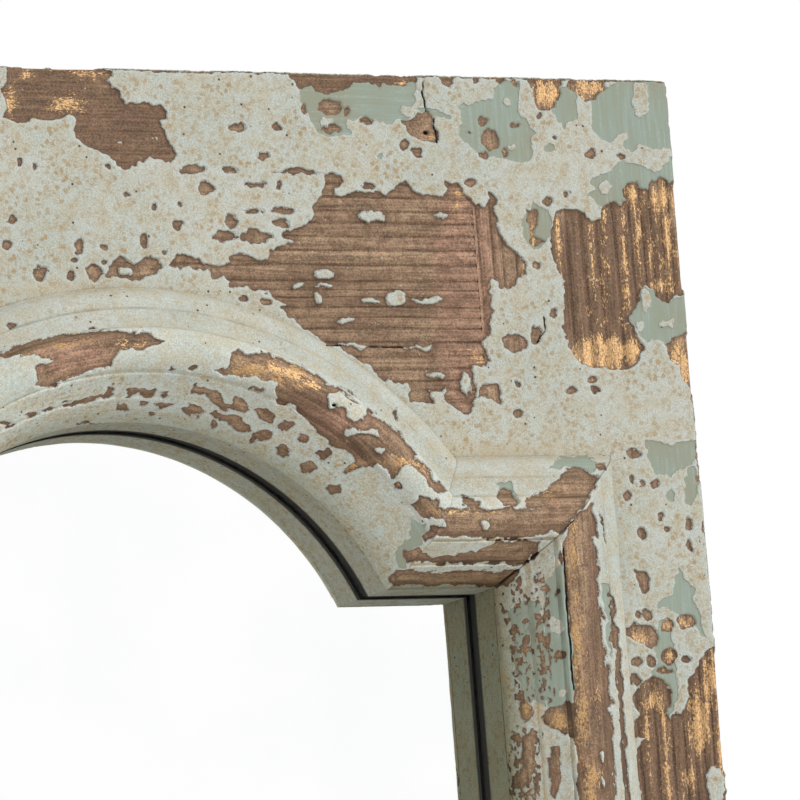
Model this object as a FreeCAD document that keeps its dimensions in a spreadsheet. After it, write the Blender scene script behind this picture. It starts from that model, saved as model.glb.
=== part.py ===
import FreeCAD, Part
import Sketcher
import math
import os

# Arched floor mirror: four thick boards dowelled into a frame, a raised moulding mitred round
# the opening, and a mirror pane held in a rebate at the back.
# Millimetres. X runs across the frame, the front looks along -Y, Z is up, and the origin is
# on the floor, under the middle of the boards.

doc = FreeCAD.newDocument("arched_floor_mirror")
sheet = doc.addObject("Spreadsheet::Sheet", "dims")

# Driving dimensions
DIMENSIONS = {
    # Frame boards
    "overall_width": 800,
    "overall_height": 1800,
    "board_thickness": 58,
    "stile_width": 150,
    "head_height": 336,
    "rail_height": 186,
    "shoulder_width": 76,
    "arch_rise": 110,
    "dowel_radius": 7,
    "dowel_depth": 45,
    "dowel_clearance": 0.3,
    # Raised moulding, with a leg that drops into a step along the opening
    "moulding_width": 83,
    "moulding_rise": 38,
    "leg_width": 20,
    "leg_depth": 16,
    "leg_clearance": 0.3,
    "brad_radius": 1.3,
    "brad_depth": 22,
    "brad_clearance": 0.3,
    # Mirror pane and what holds it
    "rebate_width": 12,
    "glass_thickness": 5,
    "glass_play": 2,
    "tape_thickness": 4.5,
    "tape_width": 8,
    "tape_setback": 2,
    "block_length": 40,
    "block_height": 3,
    "backing_thickness": 4,
    "backing_overlap": 40,
    "backing_screw_inset": 12,
    # Wood screws
    "screw_radius": 1.8,
    "screw_length": 20,
    "screw_head_radius": 4,
    "screw_head_height": 2.4,
    "screw_clearance": 0.3,
    # Strap hangers with a loose ring
    "strap_width": 20,
    "strap_length": 60,
    "strap_thickness": 1.6,
    "hanger_inset": 60,
    "hanger_drop": 320,
    "ring_wire_radius": 2,
    "ring_half_width": 15,
    "ring_leg": 8,
    "ring_corner_radius": 4,
    "ring_play": 0.5,
    # Feet and wall bumpers
    "pad_thickness": 4,
    "pad_margin": 3,
    "middle_pad_length": 120,
    "bumper_radius": 12,
    "bumper_thickness": 10,
    "bumper_inset": 30,
    # How far each cutting shape runs past the face that it cuts
    "cut_overrun": 5,
}

# Shares of the size that each list follows
# The moulding's face from the opening outwards: a corner as shares of the width and of the rise,
# then the middle of the arc that follows it, if one does
BAND_SHARES = [
    ((0.130, 0.295), None),
    ((0.146, 0.275), None),
    ((0.154, 0.360), None),
    ((0.282, 0.780), None),
    ((0.296, 0.745), None),
    ((0.302, 0.840), (0.458, 1.000)),
    ((0.620, 0.870), None),
    ((0.633, 0.800), (0.689, 0.610)),
    ((0.790, 0.540), None),
    ((0.806, 0.485), (0.919, 0.379)),
    ((0.982, 0.145), None),
    ((1.000, 0.118), None),
]
SIGHT_EDGE_SHARE = 0.25
DOWEL_SHARES = (0.25, 0.75)
BRAD_ACROSS_SHARE = 0.38
BRAD_TOP_SHARE = 0.90
STILE_BRAD_SHARES = (0.1, 0.3, 0.5, 0.7, 0.9)
RAIL_BRAD_SHARES = (-0.65, 0, 0.65)
ARCH_BRAD_SHARES = (-0.5, 0, 0.5)
SIDE_SCREW_SHARES = (0, 0.2, 0.4, 0.6, 0.8, 1)
END_SCREW_SHARES = (-0.4, 0.4)
STRAP_SCREW_SHARES = (0.56, 0.88)
BLOCK_PLACE_SHARE = 0.5

# Directions
RIGHT = FreeCAD.Vector(1, 0, 0)
BACK = FreeCAD.Vector(0, 1, 0)
UP = FreeCAD.Vector(0, 0, 1)


def fill_sheet():
    for row, (name, value) in enumerate(DIMENSIONS.items(), start=1):
        sheet.set(f"A{row}", name)
        sheet.set(f"B{row}", str(value))
        sheet.setAlias(f"B{row}", name)
    doc.recompute()


class Size:
    """A length together with the sheet formula that it comes from."""

    def __init__(self, value, formula):
        self.value = value
        self.formula = formula

    def __add__(self, other):
        return Size(self.value + other.value, f"({self.formula} + {other.formula})")

    def __sub__(self, other):
        return Size(self.value - other.value, f"({self.formula} - {other.formula})")

    def __neg__(self):
        return Size(-self.value, f"(-{self.formula})")

    def __mul__(self, share):
        return Size(self.value * share, f"({self.formula} * {share})")

    def __truediv__(self, count):
        return Size(self.value / count, f"({self.formula} / {count})")


ZERO = Size(0, "0")


def size(name):
    return Size(float(sheet.get(name)), f"dims.{name}")


def arc_radius(half_span, rise):
    """Radius of the arc over a span."""
    value = (half_span.value ** 2 + rise.value ** 2) / rise.value / 2
    return Size(value, f"(({half_span.formula} ^ 2 + {rise.formula} ^ 2) / {rise.formula} / 2)")


def half_chord(radius, height):
    """Half the width of a circle at a height above its centre."""
    value = math.sqrt(radius.value ** 2 - height.value ** 2)
    return Size(value, f"sqrt({radius.formula} ^ 2 - {height.formula} ^ 2)")


def bind(item, path, length):
    item.setExpression(path, length.formula)


def place(item, x, y, z, rotation=FreeCAD.Rotation()):
    base = FreeCAD.Vector(x.value, y.value, z.value)
    item.Placement = FreeCAD.Placement(base, rotation)
    bind(item, "Placement.Base.x", x)
    bind(item, "Placement.Base.y", y)
    bind(item, "Placement.Base.z", z)


def box(name, low, high):
    """A block between two opposite corners."""
    item = doc.addObject("Part::Box", name)
    for path, start, end in zip(("Length", "Width", "Height"), low, high):
        bind(item, path, end - start)
    place(item, *low)
    return item


def rod(name, axis, radius, length, start):
    """A round bar that runs from start along an axis."""
    item = doc.addObject("Part::Cylinder", name)
    bind(item, "Radius", radius)
    bind(item, "Height", length)
    place(item, *start, rotation=FreeCAD.Rotation(UP, axis))
    return item


def group(name, items):
    item = doc.addObject("Part::Compound", name)
    item.Links = items
    return item


def cut(name, base, tools):
    tool = doc.addObject("Part::MultiFuse", f"{name}_cuts") if len(tools) > 1 else tools[0]
    if len(tools) > 1:
        tool.Shapes = tools
    item = doc.addObject("Part::Cut", name)
    item.Base = base
    item.Tool = tool
    return item


def mirrored(name, source):
    """The same piece on the other side of the middle plane."""
    item = doc.addObject("Part::Mirroring", name)
    item.Source = source
    item.Normal = RIGHT
    return item


def pin_point(sketch, geometry, end, point, label):
    """Ties one point of a sketch to the two sizes that place it."""
    for axis, length in zip("XY", point):
        if length.formula == ZERO.formula:
            axis_line = {"X": -2, "Y": -1}[axis]
            sketch.addConstraint(Sketcher.Constraint("PointOnObject", geometry, end, axis_line))
            continue
        rule = Sketcher.Constraint(f"Distance{axis}", -1, 1, geometry, end, length.value)
        index = sketch.addConstraint(rule)
        sketch.renameConstraint(index, f"{label}_{axis.lower()}")
        bind(sketch, f"Constraints.{label}_{axis.lower()}", length)


def flat(point):
    """A sketch point from a pair of sizes."""
    return FreeCAD.Vector(point[0].value, point[1].value, 0)


def outline(name, points, rotation, x, y, z, bulges=None):
    """A closed sketch through points, where a bulge turns the side after its point into an arc."""
    sketch = doc.addObject("Sketcher::SketchObject", name)
    bulges = bulges or [None] * len(points)
    ends = []
    for point, following, bulge in zip(points, points[1:] + points[:1], bulges):
        if bulge:
            side = sketch.addGeometry(Part.Arc(flat(point), flat(bulge), flat(following)))
        else:
            side = sketch.addGeometry(Part.LineSegment(flat(point), flat(following)))
        start = sketch.getPoint(side, 1)
        forward = start.distanceToPoint(flat(point)) < start.distanceToPoint(flat(following))
        ends.append((side, 1, 2) if forward else (side, 2, 1))
    for index, (side, first, last) in enumerate(ends):
        next_side, next_first, _ = ends[(index + 1) % len(ends)]
        sketch.addConstraint(Sketcher.Constraint("Coincident", side, last, next_side, next_first))
        pin_point(sketch, side, first, points[index], f"corner{index}")
        if bulges[index]:
            crest = sketch.addGeometry(Part.Point(flat(bulges[index])), True)
            sketch.addConstraint(Sketcher.Constraint("PointOnObject", crest, 1, side))
            pin_point(sketch, crest, 1, bulges[index], f"crest{index}")
    place(sketch, x, y, z, rotation)
    return sketch


def extrusion(name, sketch, length):
    item = doc.addObject("Part::Extrusion", name)
    item.Base = sketch
    item.DirMode = "Normal"
    item.Solid = True
    bind(item, "LengthFwd", length)
    return item


fill_sheet()

# Planes and lines that several pieces share
overrun = size("cut_overrun")
half_width = size("overall_width") / 2
front = -size("board_thickness") / 2
back = size("board_thickness") / 2
top = size("overall_height")
board_foot = size("pad_thickness")
sight_side = half_width - size("stile_width")
sight_shoulder = top - size("head_height")
sight_foot = board_foot + size("rail_height")
crown = sight_shoulder + size("arch_rise")
arch_end = sight_side - size("shoulder_width")
arch_radius = arc_radius(arch_end, size("arch_rise"))
arch_centre = crown - arch_radius
seat = front + size("leg_depth")
glass_face = back - size("glass_thickness")
ledge = glass_face - size("tape_thickness")
rebate_side = sight_side + size("rebate_width")
rebate_top = crown + size("rebate_width")
rebate_foot = sight_foot - size("rebate_width")
glass_foot = rebate_foot + size("block_height")
glass_top = rebate_top - size("glass_play")
step_width = size("leg_width") + size("leg_clearance")
backing_side = sight_side + size("backing_overlap")
backing_top = crown + size("backing_overlap")
backing_foot = sight_foot - size("backing_overlap")
brad_across = size("moulding_width") * BRAD_ACROSS_SHARE
hanger_place = half_width - size("hanger_inset")
knuckle_radius = size("ring_wire_radius") + size("ring_play") + size("strap_thickness")
ring_axis_y = back + knuckle_radius
ring_axis_z = top - size("hanger_drop")
screw_hole_radius = size("screw_radius") + size("screw_clearance")
screw_hole_depth = size("screw_length") + size("screw_clearance")


def dowel_heights(foot, height):
    return [foot + height * share for share in DOWEL_SHARES]


def corner_dowel_heights():
    """Heights of the dowels in one stile, at its head and at its foot."""
    head = dowel_heights(sight_shoulder, size("head_height"))
    foot = dowel_heights(board_foot, size("rail_height"))
    return head + foot


def dowel_hole(name, side, z):
    """A hole for half a dowel, from the joint into the stile (side 1) or into the rail (side -1)."""
    low = sight_side if side > 0 else sight_side - size("dowel_depth")
    radius = size("dowel_radius") + size("dowel_clearance")
    return rod(name, RIGHT, radius, size("dowel_depth"), (low, ZERO, z))


def brad_places():
    """Where the brads go, by the moulding that they hold."""
    run = sight_shoulder - sight_foot
    stile = [(sight_side + brad_across, sight_foot + run * share) for share in STILE_BRAD_SHARES]
    rail = [(sight_side * share, sight_foot - brad_across) for share in RAIL_BRAD_SHARES]
    radius = arch_radius + brad_across
    arch = []
    for share in ARCH_BRAD_SHARES:
        across = arch_radius * share
        arch.append((across, arch_centre + half_chord(radius, across)))
    shoulder = [((arch_end + sight_side) / 2, sight_shoulder + brad_across)]
    return {"stile": stile, "rail": rail, "arch": arch, "shoulder": shoulder}


def brad_holes(name, places):
    """Straight holes through the moulding and into the board behind it."""
    radius = size("brad_radius") + size("brad_clearance")
    length = size("moulding_rise") + size("brad_depth") + overrun
    start = front - size("moulding_rise") - overrun
    return [
        rod(f"{name}_brad_hole_{index}", BACK, radius, length, (x, start, z))
        for index, (x, z) in enumerate(places)
    ]


def mirror_places(places):
    return [(-x, z) for x, z in places]


def side_screw_places():
    """Screws up the right edge of the backing board."""
    low = backing_foot + size("backing_screw_inset")
    high = backing_top - size("backing_screw_inset")
    x = backing_side - size("backing_screw_inset")
    return [(x, low + (high - low) * share) for share in SIDE_SCREW_SHARES]


def end_screw_places(z):
    """Screws along the top or bottom edge of the backing board."""
    return [(sight_side * share, z) for share in END_SCREW_SHARES]


def strap_screw_places():
    return [(hanger_place, ring_axis_z - size("strap_length") * share) for share in STRAP_SCREW_SHARES]


def screw_holes(name, places):
    """Pilot holes into the back of a board."""
    start = back - screw_hole_depth
    return [
        rod(f"{name}_screw_hole_{index}", BACK, screw_hole_radius, screw_hole_depth + overrun, (x, start, z))
        for index, (x, z) in enumerate(places)
    ]


def stile():
    """The right upright, stepped in front for the moulding and rebated behind for the pane."""
    name = "right_stile"
    blank = box(f"{name}_blank", (sight_side, front, board_foot), (half_width, back, top))
    step = box(
        f"{name}_step",
        (sight_side - overrun, front - overrun, sight_foot - step_width),
        (sight_side + step_width, seat, sight_shoulder + step_width),
    )
    rebate = box(
        f"{name}_rebate",
        (sight_side - overrun, ledge, rebate_foot),
        (rebate_side, back + overrun, rebate_top),
    )
    heights = corner_dowel_heights()
    dowel_holes = [dowel_hole(f"{name}_dowel_hole_{index}", 1, z) for index, z in enumerate(heights)]
    brads = brad_holes(name, brad_places()["stile"])
    screws = screw_holes(name, side_screw_places() + strap_screw_places())
    right = cut(name, blank, [step, rebate] + dowel_holes + brads + screws)
    return [right, mirrored("left_stile", right)]


def rail_dowel_holes(name, heights):
    right = [dowel_hole(f"{name}_dowel_hole_{index}", -1, z) for index, z in enumerate(heights)]
    left = [mirrored(f"{name}_left_dowel_hole_{index}", hole) for index, hole in enumerate(right)]
    return right + left


def head_board():
    """The wide top board between the stiles, sawn to an arch with square shoulders."""
    name = "head_board"
    blank = box(f"{name}_blank", (-sight_side, front, sight_shoulder), (sight_side, back, top))
    depth = size("board_thickness") + overrun * 2
    opening = rod(f"{name}_arch", BACK, arch_radius, depth, (ZERO, front - overrun, arch_centre))
    arch_step = rod(
        f"{name}_arch_step",
        BACK,
        arch_radius + step_width,
        size("leg_depth") + overrun,
        (ZERO, front - overrun, arch_centre),
    )
    shoulder_step = box(
        f"{name}_shoulder_step",
        (-sight_side - overrun, front - overrun, sight_shoulder - overrun),
        (sight_side + overrun, seat, sight_shoulder + step_width),
    )
    rebate = box(
        f"{name}_rebate",
        (-sight_side - overrun, ledge, sight_shoulder - overrun),
        (sight_side + overrun, back + overrun, rebate_top),
    )
    dowel_holes = rail_dowel_holes(name, dowel_heights(sight_shoulder, size("head_height")))
    places = brad_places()
    brads = brad_holes(name, places["arch"] + places["shoulder"] + mirror_places(places["shoulder"]))
    screws = screw_holes(name, end_screw_places(backing_top - size("backing_screw_inset")))
    tools = [opening, arch_step, shoulder_step, rebate]
    return cut(name, blank, tools + dowel_holes + brads + screws)


def bottom_rail():
    """The board between the feet of the stiles."""
    name = "bottom_rail"
    blank = box(f"{name}_blank", (-sight_side, front, board_foot), (sight_side, back, sight_foot))
    step = box(
        f"{name}_step",
        (-sight_side - overrun, front - overrun, sight_foot - step_width),
        (sight_side + overrun, seat, sight_foot + overrun),
    )
    rebate = box(
        f"{name}_rebate",
        (-sight_side - overrun, ledge, rebate_foot),
        (sight_side + overrun, back + overrun, sight_foot + overrun),
    )
    dowel_holes = rail_dowel_holes(name, dowel_heights(board_foot, size("rail_height")))
    brads = brad_holes(name, brad_places()["rail"])
    screws = screw_holes(name, end_screw_places(backing_foot + size("backing_screw_inset")))
    return cut(name, blank, [step, rebate] + dowel_holes + brads + screws)


def corner_dowels():
    heights = corner_dowel_heights()
    low = sight_side - size("dowel_depth")
    right = [
        rod(f"right_dowel_{index}", RIGHT, size("dowel_radius"), size("dowel_depth") * 2, (low, ZERO, z))
        for index, z in enumerate(heights)
    ]
    left = [mirrored(f"left_dowel_{index}", dowel) for index, dowel in enumerate(right)]
    return group("corner_dowels", right + left)


def moulding_profile(name, rotation, x, z):
    """Section of the moulding: out from the opening's edge, and forward from the seat of its leg."""
    width = size("moulding_width")
    face = size("leg_depth")

    def band_point(shares):
        return (width * shares[0], face + size("moulding_rise") * shares[1])

    edge = [(ZERO, ZERO), (ZERO, face * SIGHT_EDGE_SHARE)]
    bands = [band_point(corner) for corner, middle in BAND_SHARES]
    leg = [(width, face), (size("leg_width"), face), (size("leg_width"), ZERO)]
    bulges = [None] * len(edge)
    bulges += [band_point(middle) if middle else None for corner, middle in BAND_SHARES]
    bulges += [None] * len(leg)
    return outline(name, edge + bands + leg, rotation, x, seat, z, bulges)


def moulding(name, run, plan_points, places):
    """A run of moulding sawn to its outline seen from the front, with its brad holes."""
    facing = FreeCAD.Rotation(RIGHT, UP, -BACK, "XYZ")
    plan = outline(f"{name}_plan", plan_points, facing, ZERO, seat + overrun, ZERO)
    depth = size("leg_depth") + size("moulding_rise") + overrun * 2
    sawn = doc.addObject("Part::Common", f"{name}_sawn")
    sawn.Base = run
    sawn.Tool = extrusion(f"{name}_saw", plan, depth)
    return cut(name, sawn, brad_holes(name, places))


def stile_moulding():
    name = "right_stile_moulding"
    width = size("moulding_width")
    downward = FreeCAD.Rotation(RIGHT, -BACK, -UP, "XYZ")
    profile = moulding_profile(f"{name}_profile", downward, sight_side, sight_shoulder + width)
    run = extrusion(f"{name}_run", profile, sight_shoulder - sight_foot + width * 2)
    plan = [
        (sight_side, sight_foot),
        (sight_side + width, sight_foot - width),
        (sight_side + width, sight_shoulder + width),
        (sight_side, sight_shoulder),
    ]
    right = moulding(name, run, plan, brad_places()["stile"])
    return [right, mirrored("left_stile_moulding", right)]


def bottom_moulding():
    name = "bottom_moulding"
    width = size("moulding_width")
    leftward = FreeCAD.Rotation(-UP, -BACK, -RIGHT, "XYZ")
    profile = moulding_profile(f"{name}_profile", leftward, sight_side + width, sight_foot)
    run = extrusion(f"{name}_run", profile, sight_side * 2 + width * 2)
    plan = [
        (-sight_side, sight_foot),
        (-sight_side - width, sight_foot - width),
        (sight_side + width, sight_foot - width),
        (sight_side, sight_foot),
    ]
    return moulding(name, run, plan, brad_places()["rail"])


def arch_mitre_end():
    """Outer end of the mitre between arch and shoulder, measured from the middle plane."""
    height = sight_shoulder - arch_centre + size("moulding_width")
    return half_chord(arch_radius + size("moulding_width"), height)


def shoulder_moulding():
    name = "right_shoulder_moulding"
    width = size("moulding_width")
    outer = arch_mitre_end()
    rightward = FreeCAD.Rotation(UP, -BACK, RIGHT, "XYZ")
    profile = moulding_profile(f"{name}_profile", rightward, arch_end, sight_shoulder)
    run = extrusion(f"{name}_run", profile, sight_side + width - arch_end)
    plan = [
        (arch_end, sight_shoulder),
        (sight_side, sight_shoulder),
        (sight_side + width, sight_shoulder + width),
        (outer, sight_shoulder + width),
    ]
    right = moulding(name, run, plan, brad_places()["shoulder"])
    return [right, mirrored("left_shoulder_moulding", right)]


def arch_moulding():
    name = "arch_moulding"
    width = size("moulding_width")
    outer = arch_mitre_end()
    rightward = FreeCAD.Rotation(UP, -BACK, RIGHT, "XYZ")
    run = doc.addObject("Part::Revolution", f"{name}_run")
    run.Source = moulding_profile(f"{name}_profile", rightward, ZERO, crown)
    run.Axis = BACK
    run.Angle = 180
    run.Symmetric = True
    run.Solid = True
    bind(run, "Base.z", arch_centre)
    above = crown + width + overrun
    plan = [
        (-arch_end, sight_shoulder),
        (arch_end, sight_shoulder),
        (outer, sight_shoulder + width),
        (outer, above),
        (-outer, above),
        (-outer, sight_shoulder + width),
    ]
    return moulding(name, run, plan, brad_places()["arch"])


def moulding_brads():
    places = brad_places()
    sides = places["stile"] + places["shoulder"]
    length = size("brad_depth") + size("moulding_rise") * BRAD_TOP_SHARE
    start = front - size("moulding_rise") * BRAD_TOP_SHARE
    brads = [
        rod(f"brad_{index}", BACK, size("brad_radius"), length, (x, start, z))
        for index, (x, z) in enumerate(places["rail"] + places["arch"] + sides + mirror_places(sides))
    ]
    return group("moulding_brads", brads)


def mirror_glass():
    side = rebate_side - size("glass_play")
    return box("mirror_glass", (-side, glass_face, glass_foot), (side, back, glass_top))


def glazing_tapes():
    """Foam strips between the ledge of the rebate and the face of the pane, kept out of sight."""
    inner = sight_side + size("tape_setback")
    outer = inner + size("tape_width")
    low_edge = sight_foot - size("tape_setback")
    high_edge = sight_shoulder + size("tape_setback")
    side = box("right_tape", (inner, ledge, low_edge), (outer, glass_face, high_edge))
    bottom = box("bottom_tape", (-outer, ledge, glass_foot), (outer, glass_face, low_edge))
    sheet_blank = box("top_tape_blank", (-outer, ledge, high_edge), (outer, glass_face, glass_top))
    opening = rod(
        "top_tape_arch",
        BACK,
        arch_radius + size("tape_setback"),
        size("tape_thickness") + overrun * 2,
        (ZERO, ledge - overrun, arch_centre),
    )
    upper = cut("top_tape", sheet_blank, [opening])
    return group("glazing_tapes", [side, mirrored("left_tape", side), bottom, upper])


def setting_blocks():
    """Two blocks that carry the pane's lower edge."""
    middle = sight_side * BLOCK_PLACE_SHARE
    half = size("block_length") / 2
    right = box("right_block", (middle - half, glass_face, rebate_foot), (middle + half, back, glass_foot))
    return group("setting_blocks", [right, mirrored("left_block", right)])


def backing_screw_places():
    sides = side_screw_places()
    upper = end_screw_places(backing_top - size("backing_screw_inset"))
    lower = end_screw_places(backing_foot + size("backing_screw_inset"))
    return sides + mirror_places(sides) + upper + lower


def backing_board():
    rear = back + size("backing_thickness")
    blank = box("backing_blank", (-backing_side, back, backing_foot), (backing_side, rear, backing_top))
    return cut("backing_board", blank, screw_holes("backing", backing_screw_places()))


def screw(name, x, seat_y, z):
    """A pan-head wood screw whose head rests on a face at seat_y."""
    tip = (x, seat_y - size("screw_length"), z)
    shank = rod(f"{name}_shank", BACK, size("screw_radius"), size("screw_length"), tip)
    head = rod(f"{name}_head", BACK, size("screw_head_radius"), size("screw_head_height"), (x, seat_y, z))
    item = doc.addObject("Part::Fuse", name)
    item.Base = shank
    item.Tool = head
    return item


def screws(name, places, seat_y):
    return group(name, [screw(f"{name}_{index}", x, seat_y, z) for index, (x, z) in enumerate(places)])


def backing_screws():
    return screws("backing_screws", backing_screw_places(), back + size("backing_thickness"))


def hanger_screws():
    places = strap_screw_places()
    return screws("hanger_screws", places + mirror_places(places), back + size("strap_thickness"))


def hanger_strap():
    """A steel strap rolled into a knuckle round the ring's straight bar."""
    name = "right_hanger_strap"
    half = size("strap_width") / 2
    rear = back + size("strap_thickness")
    foot = ring_axis_z - size("strap_length")
    plate = box(f"{name}_plate", (hanger_place - half, back, foot), (hanger_place + half, rear, ring_axis_z))
    knuckle_start = (hanger_place - half, ring_axis_y, ring_axis_z)
    knuckle = rod(f"{name}_knuckle", RIGHT, knuckle_radius, size("strap_width"), knuckle_start)
    blank = doc.addObject("Part::Fuse", f"{name}_blank")
    blank.Base = plate
    blank.Tool = knuckle
    bore = rod(
        f"{name}_bore",
        RIGHT,
        size("ring_wire_radius") + size("ring_play"),
        size("strap_width") + overrun * 2,
        (hanger_place - half - overrun, ring_axis_y, ring_axis_z),
    )
    right = cut(name, blank, [bore] + screw_holes(name, strap_screw_places()))
    return [right, mirrored("left_hanger_strap", right)]


def d_ring():
    """A closed ring of round wire: a straight bar, two rounded corners, two legs and a bow."""
    half = size("ring_half_width").value
    corner = size("ring_corner_radius").value
    leg = size("ring_leg").value
    turn = corner * math.sqrt(0.5)

    def at(x, z):
        return FreeCAD.Vector(x, 0, z)

    sides = [
        Part.LineSegment(at(corner - half, 0), at(half - corner, 0)),
        Part.Arc(at(half - corner, 0), at(half - corner + turn, turn - corner), at(half, -corner)),
        Part.LineSegment(at(half, -corner), at(half, -leg)),
        Part.Arc(at(half, -leg), at(0, -leg - half), at(-half, -leg)),
        Part.LineSegment(at(-half, -leg), at(-half, -corner)),
        Part.Arc(at(-half, -corner), at(corner - half - turn, turn - corner), at(corner - half, 0)),
    ]
    path = Part.Wire([side.toShape() for side in sides])
    section = Part.Wire([Part.makeCircle(size("ring_wire_radius").value, at(corner - half, 0), RIGHT)])
    right = doc.addObject("Part::Feature", "right_d_ring")
    right.Shape = path.makePipeShell([section], True, False)
    place(right, hanger_place, ring_axis_y, ring_axis_z)
    return [right, mirrored("left_d_ring", right)]


def floor_pads():
    margin = size("pad_margin")
    right = box(
        "right_pad",
        (sight_side + margin, front + margin, ZERO),
        (half_width - margin, back - margin, board_foot),
    )
    middle = box(
        "middle_pad",
        (-size("middle_pad_length") / 2, front + margin, ZERO),
        (size("middle_pad_length") / 2, back - margin, board_foot),
    )
    return group("floor_pads", [right, mirrored("left_pad", right), middle])


def wall_bumpers():
    start = (half_width - size("bumper_inset"), back, top - size("bumper_inset"))
    right = rod("right_bumper", BACK, size("bumper_radius"), size("bumper_thickness"), start)
    return group("wall_bumpers", [right, mirrored("left_bumper", right)])


def build():
    pieces = stile() + [head_board(), bottom_rail(), corner_dowels()]
    pieces += [arch_moulding()] + shoulder_moulding() + stile_moulding()
    pieces += [bottom_moulding(), moulding_brads()]
    pieces += [mirror_glass(), glazing_tapes(), setting_blocks(), backing_board(), backing_screws()]
    pieces += hanger_strap() + d_ring() + [hanger_screws(), floor_pads(), wall_bumpers()]
    doc.recompute()
    return pieces


def check(pieces):
    for item in doc.Objects:
        if "Invalid" in item.State or "Error" in item.State:
            raise RuntimeError(f"{item.Label} did not build")
    for piece in pieces:
        if piece.Shape.isNull() or not piece.Shape.isValid() or not piece.Shape.Solids:
            raise RuntimeError(f"{piece.Label} has no sound solid")


def write(pieces):
    os.makedirs("parts", exist_ok=True)
    for piece in pieces:
        piece.Shape.exportStep(f"parts/{piece.Label}.step")
        print(f"{piece.Label}: {len(piece.Shape.Solids)} solid(s), {piece.Shape.Volume:.0f} cubic mm")


pieces = build()
check(pieces)
write(pieces)
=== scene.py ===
import math

import bpy
import numpy as np
from mathutils import Matrix, Vector


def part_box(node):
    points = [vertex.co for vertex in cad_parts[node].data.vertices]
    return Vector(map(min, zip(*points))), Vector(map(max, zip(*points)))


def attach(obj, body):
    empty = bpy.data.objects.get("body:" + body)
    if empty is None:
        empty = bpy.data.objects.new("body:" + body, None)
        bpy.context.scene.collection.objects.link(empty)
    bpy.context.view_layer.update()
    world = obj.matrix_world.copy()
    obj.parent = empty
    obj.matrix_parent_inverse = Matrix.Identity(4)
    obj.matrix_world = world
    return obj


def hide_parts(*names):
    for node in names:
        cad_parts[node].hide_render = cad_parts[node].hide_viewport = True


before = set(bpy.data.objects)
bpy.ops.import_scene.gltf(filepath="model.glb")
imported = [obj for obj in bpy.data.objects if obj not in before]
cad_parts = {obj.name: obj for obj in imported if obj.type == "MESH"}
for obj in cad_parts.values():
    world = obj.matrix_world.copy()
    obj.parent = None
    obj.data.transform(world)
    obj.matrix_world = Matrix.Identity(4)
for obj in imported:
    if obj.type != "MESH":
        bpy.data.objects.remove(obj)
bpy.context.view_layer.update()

# Arched floor mirror with worn, layered paint. Lengths are metres, and wear is measured in millimetres.
MM = 0.001
MAIN_BODY = "mirror"

# Shared sizes, read from the frame
stile_low, stile_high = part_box("right_stile")
run_low, run_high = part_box("right_stile_moulding")
shoulder_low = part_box("right_shoulder_moulding")[0]
arch_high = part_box("arch_moulding")[1]
half_width = stile_high.x
front = stile_low.y
back = stile_high.y
top = stile_high.z
foot = stile_low.z
joint_side = stile_low.x
sight_side = run_low.x
moulding_width = run_high.x - run_low.x
moulding_rise = front - run_low.y
leg_depth = run_high.y - front
sight_shoulder = shoulder_low.z
sight_foot = run_low.z + moulding_width
arch_end = shoulder_low.x
crown = arch_high.z - moulding_width
arch_rise = crown - sight_shoulder
arch_radius = (arch_end ** 2 + arch_rise ** 2) / (2 * arch_rise)
arch_centre = crown - arch_radius
mitre_height = sight_shoulder + moulding_width - arch_centre
mitre_end = math.sqrt((arch_radius + moulding_width) ** 2 - mitre_height ** 2)

# Camera, fitted to the corner in the photograph
PICTURE_PIXELS = 800
FOCAL_PIXELS = 5608.9
SENSOR_WIDTH = 36
VIEW_FADE = (-26, -8)
CAMERA_PLACE = Vector((-1.30695, -3.25877, 1.00938))
CAMERA_AIM = Vector((0.18696, -0.029, 1.58475))
CAMERA_ROLL = math.radians(-4.4766)

look = (CAMERA_AIM - CAMERA_PLACE).normalized()
level_right = look.cross(Vector((0, 0, 1))).normalized()
level_up = level_right.cross(look)
picture_right = level_right * math.cos(CAMERA_ROLL) + level_up * math.sin(CAMERA_ROLL)
picture_up = picture_right.cross(look)


def photo_pixels(points):
    """Where points fall in the photograph, and how many pixels a metre spans there."""
    offset = points - np.array(CAMERA_PLACE)
    depth = offset @ np.array(look)
    scale = FOCAL_PIXELS / depth
    column = PICTURE_PIXELS / 2 + offset @ np.array(picture_right) * scale
    row = PICTURE_PIXELS / 2 - offset @ np.array(picture_up) * scale
    return np.stack([column, row], axis=-1), scale


def on_flat(column, row):
    """The point of the boards' front face behind a pixel of the photograph."""
    across = (column - PICTURE_PIXELS / 2) / FOCAL_PIXELS
    down = (row - PICTURE_PIXELS / 2) / FOCAL_PIXELS
    ray = look + picture_right * across - picture_up * down
    return CAMERA_PLACE + ray * ((front - CAMERA_PLACE.y) / ray.y)


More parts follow.
